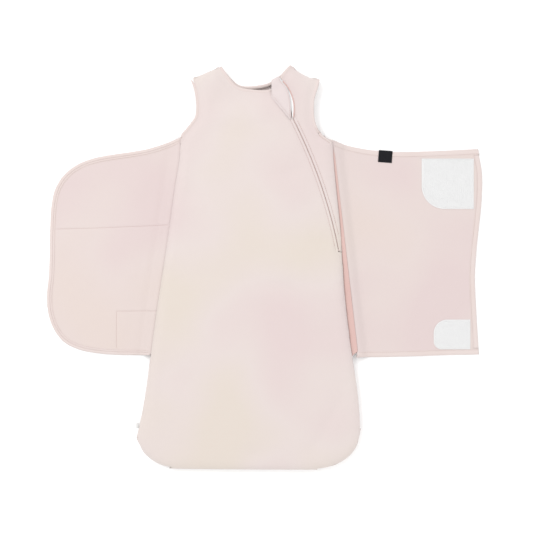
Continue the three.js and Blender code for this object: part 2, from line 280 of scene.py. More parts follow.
def sheet(name, loop, top, thick, spacing, rings=(), material=None, creases=()):
    """A closed sheet over a loop. top(points) is its upper surface, thick a number or a function."""
    plan, tris, rim = plan_mesh(loop, spacing, rings, creases)
    z = top(plan)
    t = thick(plan) if callable(thick) else thick
    upper = np.column_stack([plan, z])
    lower = np.column_stack([plan, z - t])
    n = len(plan)
    faces = [tuple(f) for f in tris] + [(c + n, b + n, a + n) for a, b, c in tris]
    for i, j in zip(rim, rim[1:] + rim[:1]):
        faces.append((i, i + n, j + n, j))
    return new_object(name, np.vstack([upper, lower]), faces, material)


def rounded(distance, radius):
    """From 0 at an edge to 1 at a radius in from it, as a quarter ellipse."""
    t = np.clip(distance / radius, 0, 1)
    return np.sqrt(1 - (1 - t) ** 2)


def eased(distance, reach):
    t = np.clip(distance / reach, 0, 1)
    return t * t * (3 - 2 * t)


def waves(points, size, seed, depth=1):
    """Smooth noise from -1 to 1 over points in plan. size is one bump's width."""
    return np.array([
        sum(noise.noise((x / size * 2**k + seed, y / size * 2**k, seed * 1.7)) / 2**k for k in range(depth))
        for x, y in points
    ])


def tube_faces(rows, sides, first=0):
    """The quads between the rows of points round a tube, and the caps on its two ends."""
    faces = []
    for row in range(rows - 1):
        for k in range(sides):
            a, b = first + row * sides + k, first + row * sides + (k + 1) % sides
            faces.append((a, b, b + sides, a + sides))
    last = first + (rows - 1) * sides
    return faces + [tuple(range(first + sides - 1, first - 1, -1)), tuple(range(last, last + sides))]


def even(value):
    """The same value at every point."""
    return lambda p: value + 0 * p[:, 0]


def stitches(name, runs, material, width=0.62 * MM):
    """Rows of short rounded stitches. runs holds 3-D lines that the thread follows."""
    verts, faces = [], []
    sides = 6
    for line in runs:
        line = resample(line, (STITCH + STITCH_GAP) / 4)
        for start in range(0, len(line) - 4, 4):
            part = line[start:start + 4]
            across = np.cross(part[-1] - part[0], (0, 0, 1.0))
            across /= max(np.linalg.norm(across), 1e-9)
            first = len(verts)
            for k, p in enumerate(part):
                girth = (0.25, 1, 1, 0.25)[k]
                sunk = (-0.25 * MM, 0.12 * MM, 0.12 * MM, -0.25 * MM)[k]
                for s in range(sides):
                    a = 2 * math.pi * s / sides
                    verts.append(p + across * math.cos(a) * width / 2 * girth
                                 + np.array((0, 0, math.sin(a) * width / 2 * girth * 0.8 + sunk)))
            faces += tube_faces(4, sides, first)
    return new_object(name, verts, faces, material)


def beside(line, distance, closed=False):
    return line + normals_of(line, closed) * distance


# ---------------------------------------------------------------- looks
LIGHT = 1.52        # what the lights put on a level surface; colours below are as they should be seen there, except that a level above 1 lifts some of them as painted light


def seen(red, green, blue, level=1.0):
    """The base colour that shows as this 0-255 colour under the scene's light. A level above 1 makes it
    lighter than that: painted light, to offset the shade that falls on a piece in a recess or under other
    parts.
    """
    linear = [(c / 255 / 12.92) if c / 255 <= 0.04045 else ((c / 255 + 0.055) / 1.055) ** 2.4
              for c in (red, green, blue)]
    return tuple(min(c * level / LIGHT, 0.95) for c in linear) + (1,)


class Nodes:
    """A small helper that adds shader nodes to a material and links them."""

    def __init__(self, name):
        self.material = bpy.data.materials.new(name)
        self.material.use_nodes = True
        self.tree = self.material.node_tree
        self.shader = self.tree.nodes["Principled BSDF"]

    def add(self, kind, inputs=(), **settings):
        node = self.tree.nodes.new("ShaderNode" + kind)
        for key, value in settings.items():
            setattr(node, key, value)
        for key, value in dict(inputs).items():
            if isinstance(value, bpy.types.NodeSocket):
                self.tree.links.new(value, node.inputs[key])
            else:
                node.inputs[key].default_value = value
        return node

    def place(self):
        return self.add("TexCoord").outputs["Object"]

    def noise(self, scale, detail=2.0, at=None, **inputs):
        return self.add("TexNoise", {"Vector": at or self.place(), "Scale": scale, "Detail": detail,
                                     **inputs})

    def bands(self, pitch, direction, distortion=0.0, at=None):
        node = self.add("TexWave", {"Vector": at or self.place(), "Scale": 0.314 / pitch,
                                    "Distortion": distortion, "Detail": 1.0, "Detail Scale": 1.5},
                        bands_direction=direction)
        return node.outputs["Fac"]

    def math(self, operation, a, b=0.0):
        return self.add("Math", {0: a, 1: b}, operation=operation).outputs[0]

    def ramp(self, value, stops):
        node = self.add("ValToRGB", {"Fac": value})
        elements = node.color_ramp.elements
        while len(elements) < len(stops):
            elements.new(0.5)
        for element, (position, colour) in zip(elements, stops):
            element.position = position
            element.color = colour
        return node.outputs["Color"]

    def mix(self, share, a, b, blend="MIX"):
        node = self.add("MixRGB", {"Fac": share, "Color1": a, "Color2": b}, blend_type=blend)
        return node.outputs["Color"]

    def bump(self, height, strength, distance, below=None):
        inputs = {"Height": height, "Strength": strength, "Distance": distance}
        if below is not None:
            inputs["Normal"] = below
        return self.add("Bump", inputs).outputs["Normal"]

    def finish(self, colour, roughness, normal=None, **shader):
        for key, value in {"Base Color": colour, "Roughness": roughness, **shader}.items():
            if isinstance(value, bpy.types.NodeSocket):
                self.tree.links.new(value, self.shader.inputs[key])
            else:
                self.shader.inputs[key].default_value = value
        if normal is not None:
            self.tree.links.new(normal, self.shader.inputs["Normal"])
        return self.material


def grey(level):
    return (level, level, level, 1)


def shade(colour, factor):
    return tuple(c * factor for c in colour[:3]) + (1,)


def jersey(name, blush, cream, rose, pitch=1.3 * MM, sheen=0.3):
    """A fine cotton jersey: columns of stitches, a soft fuzz, and slow changes of tone across the cloth."""
    n = Nodes(name)
    slow = n.noise(4.6, 1.5).outputs["Fac"]
    tone = n.ramp(slow, [(0.36, cream), (0.5, blush), (0.66, rose)])
    wales = n.bands(pitch, "X", 0.25)
    courses = n.bands(pitch * 0.78, "Y", 0.4)
    stitch = n.math("MULTIPLY", wales, courses)
    fuzz = n.noise(1800, 3).outputs["Fac"]
    worn = n.noise(46, 3).outputs["Fac"]
    fleck = n.math("ADD", n.math("MULTIPLY", stitch, 0.55), n.math("MULTIPLY", fuzz, 0.45))
    colour = n.mix(n.math("MULTIPLY", fleck, 0.22), shade(blush, 0.93), tone, "MIX")
    colour = n.mix(0.78, colour, tone)
    rough = n.ramp(worn, [(0.3, grey(0.82)), (0.7, grey(0.94))])
    normal = n.bump(worn, 0.12, 0.6 * MM)
    normal = n.bump(stitch, 0.32, 0.22 * MM, normal)
    normal = n.bump(fuzz, 0.14, 0.12 * MM, normal)
    return n.finish(colour, rough, normal, **{"Sheen Weight": sheen, "Sheen Roughness": 0.55,
                                              "Specular IOR Level": 0.25})


def rib(name, light, dark, pitch=1.0 * MM):
    """A tighter ribbed knit for bindings, hems and seam tape."""
    n = Nodes(name)
    slow = n.noise(9, 2).outputs["Fac"]
    tone = n.ramp(slow, [(0.3, light), (0.75, dark)])
    ribs = n.math("MAXIMUM", n.bands(pitch, "DIAGONAL", 0.5), n.bands(pitch * 1.7, "Y", 0.4))
    fuzz = n.noise(1500, 3).outputs["Fac"]
    colour = n.mix(n.math("MULTIPLY", ribs, 0.12), shade(dark, 0.96), tone)
    colour = n.mix(0.8, colour, tone)
    normal = n.bump(ribs, 0.35, 0.25 * MM)
    normal = n.bump(fuzz, 0.15, 0.12 * MM, normal)
    rough = n.ramp(fuzz, [(0.3, grey(0.78)), (0.7, grey(0.92))])
    return n.finish(colour, rough, normal, **{"Sheen Weight": 0.25, "Specular IOR Level": 0.25})


def fleece(name, light, dark):
    n = Nodes(name)
    tufts = n.noise(260, 5).outputs["Fac"]
    fibres = n.noise(1900, 4).outputs["Fac"]
    colour = n.ramp(tufts, [(0.3, dark), (0.7, light)])
    normal = n.bump(tufts, 0.6, 0.9 * MM)
    normal = n.bump(fibres, 0.4, 0.25 * MM, normal)
    rough = n.ramp(fibres, [(0.3, grey(0.85)), (0.7, grey(0.97))])
    return n.finish(colour, rough, normal, **{"Sheen Weight": 0.4, "Specular IOR Level": 0.15})


def woven(name, light, dark, pitch=0.6 * MM, roughness=0.6, sheen=0.1, gloss=0.4):
    """A flat woven tape: warp and weft one over the other."""
    n = Nodes(name)
    warp = n.bands(pitch, "X", 0.1)
    weft = n.bands(pitch, "Y", 0.1)
    over = n.math("ABSOLUTE", n.math("SUBTRACT", warp, weft))
    slow = n.noise(60, 3).outputs["Fac"]
    colour = n.mix(over, dark, light)
    colour = n.mix(n.math("MULTIPLY", slow, 0.25), colour, light)
    normal = n.bump(over, 0.4, 0.18 * MM)
    rough = n.ramp(slow, [(0.3, grey(roughness - 0.06)), (0.7, grey(roughness + 0.08))])
    return n.finish(colour, rough, normal, **{"Sheen Weight": sheen, "Specular IOR Level": gloss})


def plastic(name, light, dark, roughness=0.42):
    n = Nodes(name)
    grain = n.noise(420, 4).outputs["Fac"]
    colour = n.ramp(grain, [(0.3, dark), (0.7, light)])
    rough = n.ramp(grain, [(0.3, grey(roughness - 0.05)), (0.7, grey(roughness + 0.1))])
    return n.finish(colour, rough, n.bump(grain, 0.08, 0.1 * MM), **{"IOR": 1.5})


def metal(name, light, dark):
    """Painted die-cast metal with a fine tumbled grain, lighter on its sharp edges."""
    n = Nodes(name)
    grain = n.noise(700, 5).outputs["Fac"]
    edge = n.add("NewGeometry").outputs["Pointiness"]
    edge_lightening = n.ramp(edge, [(0.5, grey(0)), (0.62, grey(1))])
    colour = n.mix(edge_lightening, n.ramp(grain, [(0.3, dark), (0.7, light)]), shade(light, 1.06))
    rough = n.ramp(grain, [(0.3, grey(0.26)), (0.7, grey(0.4))])
    return n.finish(colour, rough, n.bump(grain, 0.1, 0.08 * MM), Metallic=0.55)


BLUSH, CREAM, ROSE = seen(241, 228, 224), seen(239, 227, 215), seen(238, 219, 218)
SHELL_KNIT = jersey("shell_knit_look", BLUSH, CREAM, ROSE)
WING_KNIT = jersey("wing_knit_look", seen(240, 225, 221), seen(240, 224, 217), seen(237, 218, 217), 1.5 * MM)
GUARD_KNIT = jersey("guard_knit_look", seen(241, 228, 226), seen(240, 228, 223), seen(240, 226, 225))
BINDING_KNIT = rib("binding_knit_look", seen(243, 229, 225), seen(240, 223, 218))
# dusty pink, darker than the cloth: painted shade for the crease at the right wing's root and for the shadow
# line along the side panel's edge; its level of 1.08 lifts it against the real shade it lies in
PAINTED_SHADE_KNIT = rib("painted_shade_knit_look", seen(232, 200, 193, 1.08), seen(226, 190, 183, 1.08), 0.9 * MM)
LINING_KNIT = jersey("lining_knit_look", seen(250, 248, 246), seen(250, 247, 243), seen(248, 246, 246),
                     1.1 * MM, 0.2)
# white knit lifted by a level of 1.25: painted light, so the underlap in the crescent beside the chin guard
# shows pure white despite the shade it lies in; the guard's lining shares it
WHITE_KNIT = jersey("white_knit_look", seen(255, 255, 255, 1.25), seen(255, 255, 253, 1.25),
                    seen(254, 254, 255, 1.25), 1.1 * MM, 0.1)
WADDING = fleece("wadding_look", seen(250, 250, 250), seen(240, 240, 238))
# thread a darker pink than the cloth: partly its own colour, partly painted shade for the grooves the
# stitching draws in
THREAD_WITH_GROOVE_SHADE = rib("thread_with_groove_shade_look", seen(217, 186, 179), seen(208, 174, 167), 0.5 * MM)
PALE_THREAD = rib("pale_thread_look", seen(246, 244, 243), seen(238, 236, 235), 0.5 * MM)
# zip tape and coil lifted by a level above 1: painted light to offset the shade in the narrow gap between the
# zip's lips
ZIP_TAPE = woven("zip_tape_look", seen(244, 220, 213, 1.3), seen(238, 210, 203, 1.3), 0.7 * MM)
ZIP_COIL = plastic("zip_coil_look", seen(240, 214, 207, 1.25), seen(232, 203, 196, 1.25))
ZIP_METAL = metal("zip_metal_look", seen(236, 214, 209), seen(226, 200, 195))
# hook tape and hooks lifted by a level above 1: painted light to offset the shade the hooks cast on the tape
# and on one another
HOOK_TAPE = woven("hook_tape_look", seen(246, 246, 246, 1.1), seen(240, 240, 240, 1.1), 0.8 * MM, 0.55, 0.05)
HOOK_PLASTIC = plastic("hook_plastic_look", seen(255, 255, 255, 1.4), seen(250, 250, 250, 1.4), 0.5)
LOOP_TAPE = fleece("loop_tape_look", seen(244, 238, 236), seen(232, 224, 222))
BLACK_TAPE = woven("black_tape_look", seen(40, 40, 44), seen(28, 28, 31), 0.55 * MM, 0.85, 0.0, 0.12)
LABEL_TAPE = woven("label_tape_look", seen(250, 249, 247), seen(240, 238, 236), 0.4 * MM, 0.5)


# ---------------------------------------------------------------- the bag's edges
BINDINGS = ["neck_binding_back", "neck_binding_front", "neck_binding_right", "left_armhole_binding",
            "right_armhole_binding"]
BINDING_LOOPS = {node: outline(node) for node in BINDINGS}
COILS = [outline(f"zip_coil_{side}") - ZIP_CENTRE for side in ("left", "right")]
ZIP_RADIUS = float(np.linalg.norm(COILS[0], axis=1).max() + np.linalg.norm(COILS[1], axis=1).min()) / 2
ZIP_ENDS = np.degrees([math.atan2(*COILS[0][i][::-1])
                       for i in (COILS[0][:, 1].argmin(), COILS[0][:, 1].argmax())])
EDGE_TOP, EDGE_LOW = 15.5 * MM, 9.1 * MM        # the front's and the back's outer faces at a closed seam


def bound(points, reach=1.0 * MM):
    return np.min([nearest(points, loop, True)[0] for loop in BINDING_LOOPS.values()], axis=0) < reach


def runs_of(loop, chosen):
    """The loop's points where chosen holds, as open lines."""
    n = len(loop)
    if chosen.all():
        return [np.vstack([loop, loop[:1]])]
    first = int(np.argmin(chosen))
    lines, line = [], []
    for k in range(n + 1):
        i = (first + k) % n
        if chosen[i] and k < n:
            line.append(loop[i])
        elif line:
            lines.append(np.array(line))
            line = []
    return [line for line in lines if len(line) > 3]


BAG = smooth_loop(panel_outline("back_shell"), 2.0 * MM)
BAG_BOUND = bound(BAG)
CLOSED = runs_of(BAG, ~BAG_BOUND)
OPEN_EDGES = runs_of(BAG, BAG_BOUND)
FRONT_OPEN = [line for node in ("front_shell", "side_panel_shell")
              for loop in [smooth_loop(panel_outline(node), 2.0 * MM)] for line in runs_of(loop, bound(loop))]


KNOWN = {}          # distances already worked out, by the bag's own lines and the points asked about
KEPT = [CLOSED, OPEN_EDGES, FRONT_OPEN]


def distance_to(points, lines):
    kept = next((k for k, known in enumerate(KEPT) if known is lines), None)
    key = (kept, points.tobytes())
    if kept is not None and key in KNOWN:
        return KNOWN[key]
    found = np.min([nearest(points, line)[0] for line in lines], axis=0)
    if kept is not None:
        KNOWN[key] = found
    return found


def zip_offset(points):
    """How far each point is to the right of the zip's line, and its angle along the line in degrees."""
    arm = points - ZIP_CENTRE
    return np.linalg.norm(arm, axis=1) - ZIP_RADIUS, np.degrees(np.arctan2(arm[:, 1], arm[:, 0]))


def zip_point(angle, offset=0.0):
    a = np.radians(angle)
    return ZIP_CENTRE + (ZIP_RADIUS + offset) * np.array((math.cos(a), math.sin(a)))


def puckers(points, lines, size, reach, seed):
    """Small gathers that run in from a sewn edge and fade."""
    out = np.zeros(len(points))
    for k, line in enumerate(lines):
        d, along = nearest(points, line)
        swing = waves(np.column_stack([along, np.full(len(along), seed + 3.1 * k)]), 31 * MM, seed)
        gather = np.sin(along / (4.1 * MM) + 5 * swing) * np.clip(d / (2.5 * MM), 0, 1)
        out += size * np.exp(-d / reach) * gather
    return out


NECK_SAG, SAG_AT, SAG_WIDE = 6.0 * MM, np.array((-30, 303)) * MM, 40 * MM


def neck_sag(p):
    """How far the front drops towards the back in the middle of the neckline."""
    across = np.exp(-((p[:, 0] - SAG_AT[0]) / SAG_WIDE) ** 2)
    down = eased(p[:, 1] - (SAG_AT[1] - 46 * MM), 50 * MM)
    return NECK_SAG * across * down


SWELL_STEPS = 20
SWELL_MOST, SWELL_LEAST = 1.5 * MM, -1.7 * MM     # how far the cloth simulation may move the front
swell_tree = None                                 # the simulated change of height, over the plan


def simulated_swell():
    """Blows the front's shell up like a cushion cover held at its seams, and keeps its change of height."""
    plan, tris, _ = plan_mesh(inset(BAG, 1.0 * MM), 6.5 * MM, (2 * MM, 4.5 * MM, 8 * MM))
    start = front_base(plan)
    membrane = new_object("membrane", np.column_stack([plan, start]), tris)
    offset, angle = zip_offset(plan)
    held = (distance_to(plan, CLOSED) < 2.6 * MM) | (distance_to(plan, FRONT_OPEN) < 5 * MM)
    held |= (np.abs(offset) < 8 * MM) & (angle > ZIP_ENDS[0] - 2) & (angle < 36)
    held |= (plan[:, 0] > 2 * MM) & (plan[:, 1] > 245 * MM)
    group = membrane.vertex_groups.new(name="held")
    group.add([int(i) for i in np.flatnonzero(held)], 1.0, "REPLACE")
    cloth = membrane.modifiers.new("cloth", "CLOTH")
    cloth.settings.quality = 5
    cloth.settings.mass = 0.15
    cloth.settings.tension_stiffness = cloth.settings.compression_stiffness = 12
    cloth.settings.shear_stiffness = 6
    cloth.settings.bending_stiffness = 0.35
    cloth.settings.shrink_min = -0.012
    cloth.settings.use_pressure = True
    cloth.settings.uniform_pressure_force = 0.35
    cloth.settings.vertex_group_mass = "held"
    cloth.settings.effector_weights.gravity = 0
    cloth.collision_settings.use_collision = False
    scene = bpy.context.scene
    for step in range(1, SWELL_STEPS + 1):
        scene.frame_set(step)
    shaped = membrane.evaluated_get(bpy.context.evaluated_depsgraph_get())
    end = np.array([v.co.z for v in shaped.data.vertices])
    change = np.clip(end - start, SWELL_LEAST, SWELL_MOST)
    change[held] = 0
    pairs = np.array([(f[i], f[(i + 1) % 3]) for f in tris for i in range(3)])
    for _ in range(2):
        total, count = change.copy(), np.ones(len(change))
        np.add.at(total, pairs[:, 0], change[pairs[:, 1]])
        np.add.at(count, pairs[:, 0], 1)
        change = total / count
    scene.frame_set(1)
    bpy.data.objects.remove(membrane)
    return BVHTree.FromPolygons([Vector((x, y, z)) for (x, y), z in zip(plan, change)], tris)


def swell_at(p):
    if swell_tree is None:
        return np.zeros(len(p))
    key = ("swell", p.tobytes())
    if key not in KNOWN:
        down = Vector((0, 0, -1))
        hits = [swell_tree.ray_cast(Vector((x, y, 1.0)), down)[0] for x, y in p]
        KNOWN[key] = np.array([hit.z if hit else 0.0 for hit in hits])
    return KNOWN[key]


def front_base(p):
    """The outer face of the padded front and the side panel, as if there were no zip."""
    closed = distance_to(p, CLOSED)
    open_edge = distance_to(p, FRONT_OPEN)
    swell = rounded(closed, FRONT_ROUND)
    z = EDGE_TOP + (FRONT_TOP - 0.3 * MM - EDGE_TOP) * swell
    z += 1.1 * MM * eased(closed - 20 * MM, 70 * MM)
    z += 0.7 * MM * waves(p, 85 * MM, 3.7, 2) * eased(closed, 30 * MM)
    z += puckers(p, CLOSED, 0.42 * MM, 8 * MM, 1.3)
    z -= (2.2 * MM * (1 - eased(open_edge, 13 * MM)) + neck_sag(p)) * swell
    return np.minimum(z, EDGE_TOP + 9.9 * MM) + swell_at(p)


def front_height(p):
    """The outer face of the padded front and the side panel, with the zip's lips."""
    z = front_base(p)
    swell = rounded(distance_to(p, CLOSED), FRONT_ROUND)
    offset, angle = zip_offset(p)
    along_zip = eased(angle - (ZIP_ENDS[0] - 1.6), 1.2) * eased(33.5 - angle, 1.5)
    away = np.abs(offset)
    lip = -1.75 * MM + 1.15 * MM * np.sqrt(np.clip(1 - ((away - 2.7 * MM) / (2.6 * MM)) ** 2, 0, 1))
    beyond = -1.9 * MM + 1.9 * MM * rounded(away - LIP_WIDTH, 8 * MM)
    z += along_zip * swell * np.where(away < LIP_WIDTH, lip, beyond)
    z += along_zip * 0.16 * MM * np.exp(-((away - 8 * MM) / (5 * MM)) ** 2) * np.sin(angle * 14.5) * swell
    return z


def filling(p, open_lines):
    """How much of the full thickness the layers keep, near the seams and the bound edges."""
    at_open = 0.55 + 0.45 * eased(distance_to(p, open_lines), 12 * MM)
    return rounded(distance_to(p, CLOSED), 16 * MM) * at_open


def front_filling(p):
    return filling(p, FRONT_OPEN)


def back_filling(p):
    return filling(p, OPEN_EDGES)


def back_height(p):
    """The back's outer face, which lies on the floor inside its rounded edge."""
    closed = distance_to(p, CLOSED)
    open_edge = distance_to(p, OPEN_EDGES)
    z = EDGE_LOW * (1 - rounded(closed, BACK_ROUND + 3 * MM))
    z += 1.6 * MM * (1 - eased(open_edge, 12 * MM)) * rounded(closed, BACK_ROUND)
    z += np.abs(puckers(p, CLOSED, 0.3 * MM, 7 * MM, 5.9)) * rounded(closed, BACK_ROUND)
    return z + 0.05 * MM


def grown(loop, bound_by, zip_by=0.0, closed_by=0.0):
    """A panel's loop moved outwards by one amount where it is bound, others along the zip and at seams."""
    is_bound = bound(loop)
    offset, angle = zip_offset(loop)
    at_zip = (np.abs(offset) < 2.5 * MM) & ~is_bound
    step = np.where(is_bound, bound_by, np.where(at_zip, zip_by, closed_by))
    wide = np.concatenate([step[-2:], step, step[:2]])
    step = np.convolve(wide, np.ones(5) / 5, "valid")
    return loop - normals_of(loop, True) * step[:, None]


def inset(loop, depth):
    ring = loop + normals_of(loop, True) * depth
    d, _ = nearest(ring, loop, True)
    return ring[(d > depth * 0.9) & inside(ring, loop)]


def is_on(obj, body, slot, *nodes):
    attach(obj, body)
    if nodes:
        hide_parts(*nodes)
    return obj


swell_tree = simulated_swell()


EDGE_RINGS = tuple(d * MM for d in (0.5, 1.4, 2.6, 3.6, 4.4, 5.4, 7.2, 10.0, 14.0))
FINE, MIDDLE = 4.6 * MM, 7.0 * MM               # grid spacing of shells, and of wadding and linings

front_loop = smooth_loop(panel_outline("front_shell"), 2.4 * MM)
side_loop = smooth_loop(panel_outline("side_panel_shell"), 2.4 * MM)
back_loop = smooth_loop(panel_outline("back_shell"), 2.6 * MM)

front_shell, side_shell, back_shell = (
    sheet(node + "_jersey", loop, top, SHELL, FINE, EDGE_RINGS, SHELL_KNIT)
    for node, loop, top in (
        ("front_shell", grown(front_loop, BINDING_GROWS, ZIP_GROWS), front_height),
        ("side_panel_shell", grown(side_loop, BINDING_GROWS, ZIP_GROWS), front_height),
        ("back_shell", grown(back_loop, BINDING_GROWS), lambda p: back_height(p) + SHELL),
    ))
is_on(front_shell, "bag", "shell_knit", "front_shell")
is_on(side_shell, "bag", "shell_knit", "side_panel_shell")
is_on(back_shell, "bag", "shell_knit", "back_shell")

GAP = 0.15 * MM
WAD = FILLED - SHELL - LINING - 3 * GAP


def front_wad_top(p):
    return front_height(p) - SHELL - GAP


def wad_front(p):
    return WAD * front_filling(p)


def wad_back(p):
    return WAD * back_filling(p)


def front_lining_top(p):
    return front_wad_top(p) - wad_front(p) - GAP


def back_wad_low(p):
    return back_height(p) + SHELL + GAP


def back_lining_top(p):
    return back_wad_low(p) + wad_back(p) + GAP + LINING


PAD_RINGS = (1.5 * MM, 4.0 * MM, 8.0 * MM)
soft, rings = {}, {}
for part, loop, top, thick, look, slot in (
    ("front_wadding", front_loop, front_wad_top, wad_front, WADDING, "wadding"),
    ("side_panel_wadding", side_loop, front_wad_top, wad_front, WADDING, "wadding"),
    ("back_wadding", back_loop, lambda p: back_wad_low(p) + wad_back(p), wad_back, WADDING, "wadding"),
    ("front_lining", front_loop, front_lining_top, LINING, LINING_KNIT, "lining_knit"),
    ("side_panel_lining", side_loop, front_lining_top, LINING, LINING_KNIT, "lining_knit"),
    ("back_lining", back_loop, back_lining_top, LINING, LINING_KNIT, "lining_knit"),
):
    is_lining = part.endswith("lining")
    ring = inset(loop, (4.6 if is_lining else 4.2) * MM)
    if is_lining:
        ring = grown(ring, 0)
    rings[part] = ring
    soft[part] = sheet(part + ("_knit" if is_lining else "_fill"), ring, top, thick, MIDDLE, PAD_RINGS, look)
    is_on(soft[part], "bag", slot, part)


# ---------------------------------------------------------------- bindings and seams
def long_sides(node, low=False):
    """A strip's two long edges, run the same way, from its outline."""
    lines = sorted(stretches(outline(node, low), 35), key=lambda line: -length_of(line))
    a, b = lines[0], lines[1]
    if np.linalg.norm(a[0] - b[0]) > np.linalg.norm(a[0] - b[-1]):
        b = b[::-1]
    return a, b


def paired(a, b, spacing):
    """Two lines resampled to the same number of points."""
    a, b = smooth_line(a, spacing), smooth_line(b, spacing)
    n = max(len(a), len(b))
    index = np.linspace(0, 1, n)

    def pick(line):
        own = np.linspace(0, 1, len(line))
        return np.column_stack([np.interp(index, own, line[:, k]) for k in (0, 1)])

    return pick(a), pick(b)


def strip(name, a, b, middle, upper, lower, material, spacing=2.4 * MM, across=7, sewn=()):
    """A padded strip between two lines. middle(points) is its middle height, upper and lower its half
    heights. sewn holds the rows of stitching that draw its top in, as shares of the way from a to b."""
    a, b = paired(a, b, spacing)
    sections = [0.5 - 0.5 * math.cos(math.pi * k / (across - 1)) for k in range(across)]
    for row in sewn:
        sections = [t for t in sections if abs(t - row) > 0.07] + [row - 0.06, row, row + 0.06]
    sections.sort()

    def swell(t):
        return max(1 - (2 * t - 1) ** 2, 0) ** 0.275

    top_of = [(t, swell(t) * (0.62 if t in sewn else 1.0)) for t in sections]
    low_of = [(t, -swell(t)) for t in reversed(sections[1:-1])]
    ring = top_of + low_of
    verts = []
    for t, s in ring:
        p = a + (b - a) * t
        z = middle(p)
        up = upper(p) if callable(upper) else upper
        down = lower(p) if callable(lower) else lower
        verts.append(np.column_stack([p, z + (up * s if s >= 0 else down * s)]))
    n, m = len(a), len(ring)
    verts = np.stack(verts, axis=1).reshape(-1, 3)
    obj = new_object(name, verts, tube_faces(n, m), material)
    outward(obj)
    return obj


def outward(obj):
    """Turns a closed mesh's faces to point out of it."""
    mesh = obj.data
    mesh.calc_loop_triangles()
    co = np.array([v.co for v in mesh.vertices])
    tri = np.array([t.vertices for t in mesh.loop_triangles])
    volume = np.einsum("ij,ij->i", co[tri[:, 0]], np.cross(co[tri[:, 1]], co[tri[:, 2]])).sum()
    if volume < 0:
        mesh.flip_normals()


def joined(name, parts):
    """Several new meshes as one piece."""
    bpy.ops.object.select_all(action="DESELECT")
    for part in parts:
        part.select_set(True)
    bpy.context.view_layer.objects.active = parts[0]
    bpy.ops.object.join()
    parts[0].name = name
    return parts[0]


def front_middle(p):
    return front_height(p) - (SHELL + GAP) - wad_front(p) / 2 - 0.4 * MM


def back_middle(p):
    return back_height(p) + SHELL + GAP + wad_back(p) / 2 + 0.4 * MM


HALF_FRONT = lambda p: 2.0 * MM + wad_front(p) / 2
HALF_BACK = lambda p: 1.8 * MM + wad_back(p) / 2
for node, middle, half in (
    ("neck_binding_front", front_middle, HALF_FRONT),
    ("neck_binding_right", front_middle, HALF_FRONT),
    ("neck_binding_back", back_middle, HALF_BACK),
):
    a, b = long_sides(node)
    piece = strip(node + "_fold", a, b, middle, half, half, BINDING_KNIT)
    is_on(piece, "bag", "binding_knit", node)


def caught(half, a, b):
    """A binding's half height, thinner at the underarm, where the side seam catches it."""
    end = min((a[0] + b[0]) / 2, (a[-1] + b[-1]) / 2, key=lambda p: p[1])
    return lambda p: half(p) * (0.55 + 0.45 * eased(np.linalg.norm(p - end, axis=1) - 3 * MM, 9 * MM))


for node in ("left_armhole_binding", "right_armhole_binding"):
    a, b = long_sides(node)
    front_half, back_half = caught(HALF_FRONT, a, b), caught(HALF_BACK, a, b)
    upper = strip(node + "_upper", a, b, front_middle, front_half, front_half, BINDING_KNIT)
    under = strip(node + "_under", a, b, back_middle, back_half, back_half, BINDING_KNIT)
    piece = joined(node + "_fold", [upper, under])
    is_on(piece, "bag", "binding_knit", node)

BINDING_ROW = 0.8           # where a bound edge is stitched, as a share of its width

# the right armhole's binding goes on down the raw edge of the front, as far as the wing's seam
UNDERARM = np.array(((97.1, 234.3), (100.1, 229.8), (103.7, 227.3),
                     (107.3, 225.5), (112.8, 221.4), (118.2, 217.4))) * MM
a = resample(UNDERARM, 2 * MM)
turn = normals_of(a, False)
turn = turn if inside(a[4:5] + turn[4:5] * 6 * MM, BAG)[0] else -turn
a, b = a, a + turn * 5.6 * MM
piece = strip("right_underarm_binding_fold", a, b, lambda p: front_height(p) - 0.55 * MM, 0.95 * MM,
              0.95 * MM, BINDING_KNIT)
is_on(piece, "bag", "binding_knit")
underarm_row = resample((a + (b - a) * BINDING_ROW)[1:-1], 1.5 * MM)

TAPE_SHOWS = 3.2 * MM       # how far the right seam's tape, coloured as painted shade, runs past the wing's fold line
TAPE_RISE = 4.3 * MM        # and how much it rises towards the wing


def inset_depth(points):
    return nearest(points, BAG, True)[0]


def outside_bag(p):
    """How far each point is outside the bag's closed edge, negative inside it."""
    return distance_to(p, CLOSED) * np.where(inside(p, BAG), -1, 1)


SEAM_MIDDLE = (EDGE_TOP - SHELL + EDGE_LOW + SHELL) / 2
right_root, right_axis = joint_line("right_wing_fold")
WING_SPAN = {  # each wing's lowest and highest point at the bag
    "left_wing": (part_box("left_wing_binding")[0].y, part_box("left_wing_binding")[1].y),
    "right_wing": (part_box("right_wing_bottom_hem")[0].y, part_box("right_wing_top_hem")[1].y + 10 * MM),
}


def seam_room(span):
    """A side seam is thin where a wing is sewn into it, and fills the gap elsewhere."""
    def half(p):
        out = np.maximum(span[0] - p[:, 1], p[:, 1] - span[1])
        return 0.55 * MM + 1.5 * MM * eased(out + 2 * MM, 6 * MM)
    return half


SEAM_PAST = 9 * MM          # how far the side and bottom seams run on to meet at the bag's corners


def low_end(line):
    return 0 if line[0, 1] < line[-1, 1] else -1


def past(line, ends):
    """The line with a straight run added at each of the ends, which are 0 or -1."""
    for end in ends:
        step = line[end] - line[3 if end == 0 else -4]
        added = line[end] + step / np.linalg.norm(step) * SEAM_PAST
        line = np.vstack([[added], line] if end == 0 else [line, [added]])
    return line


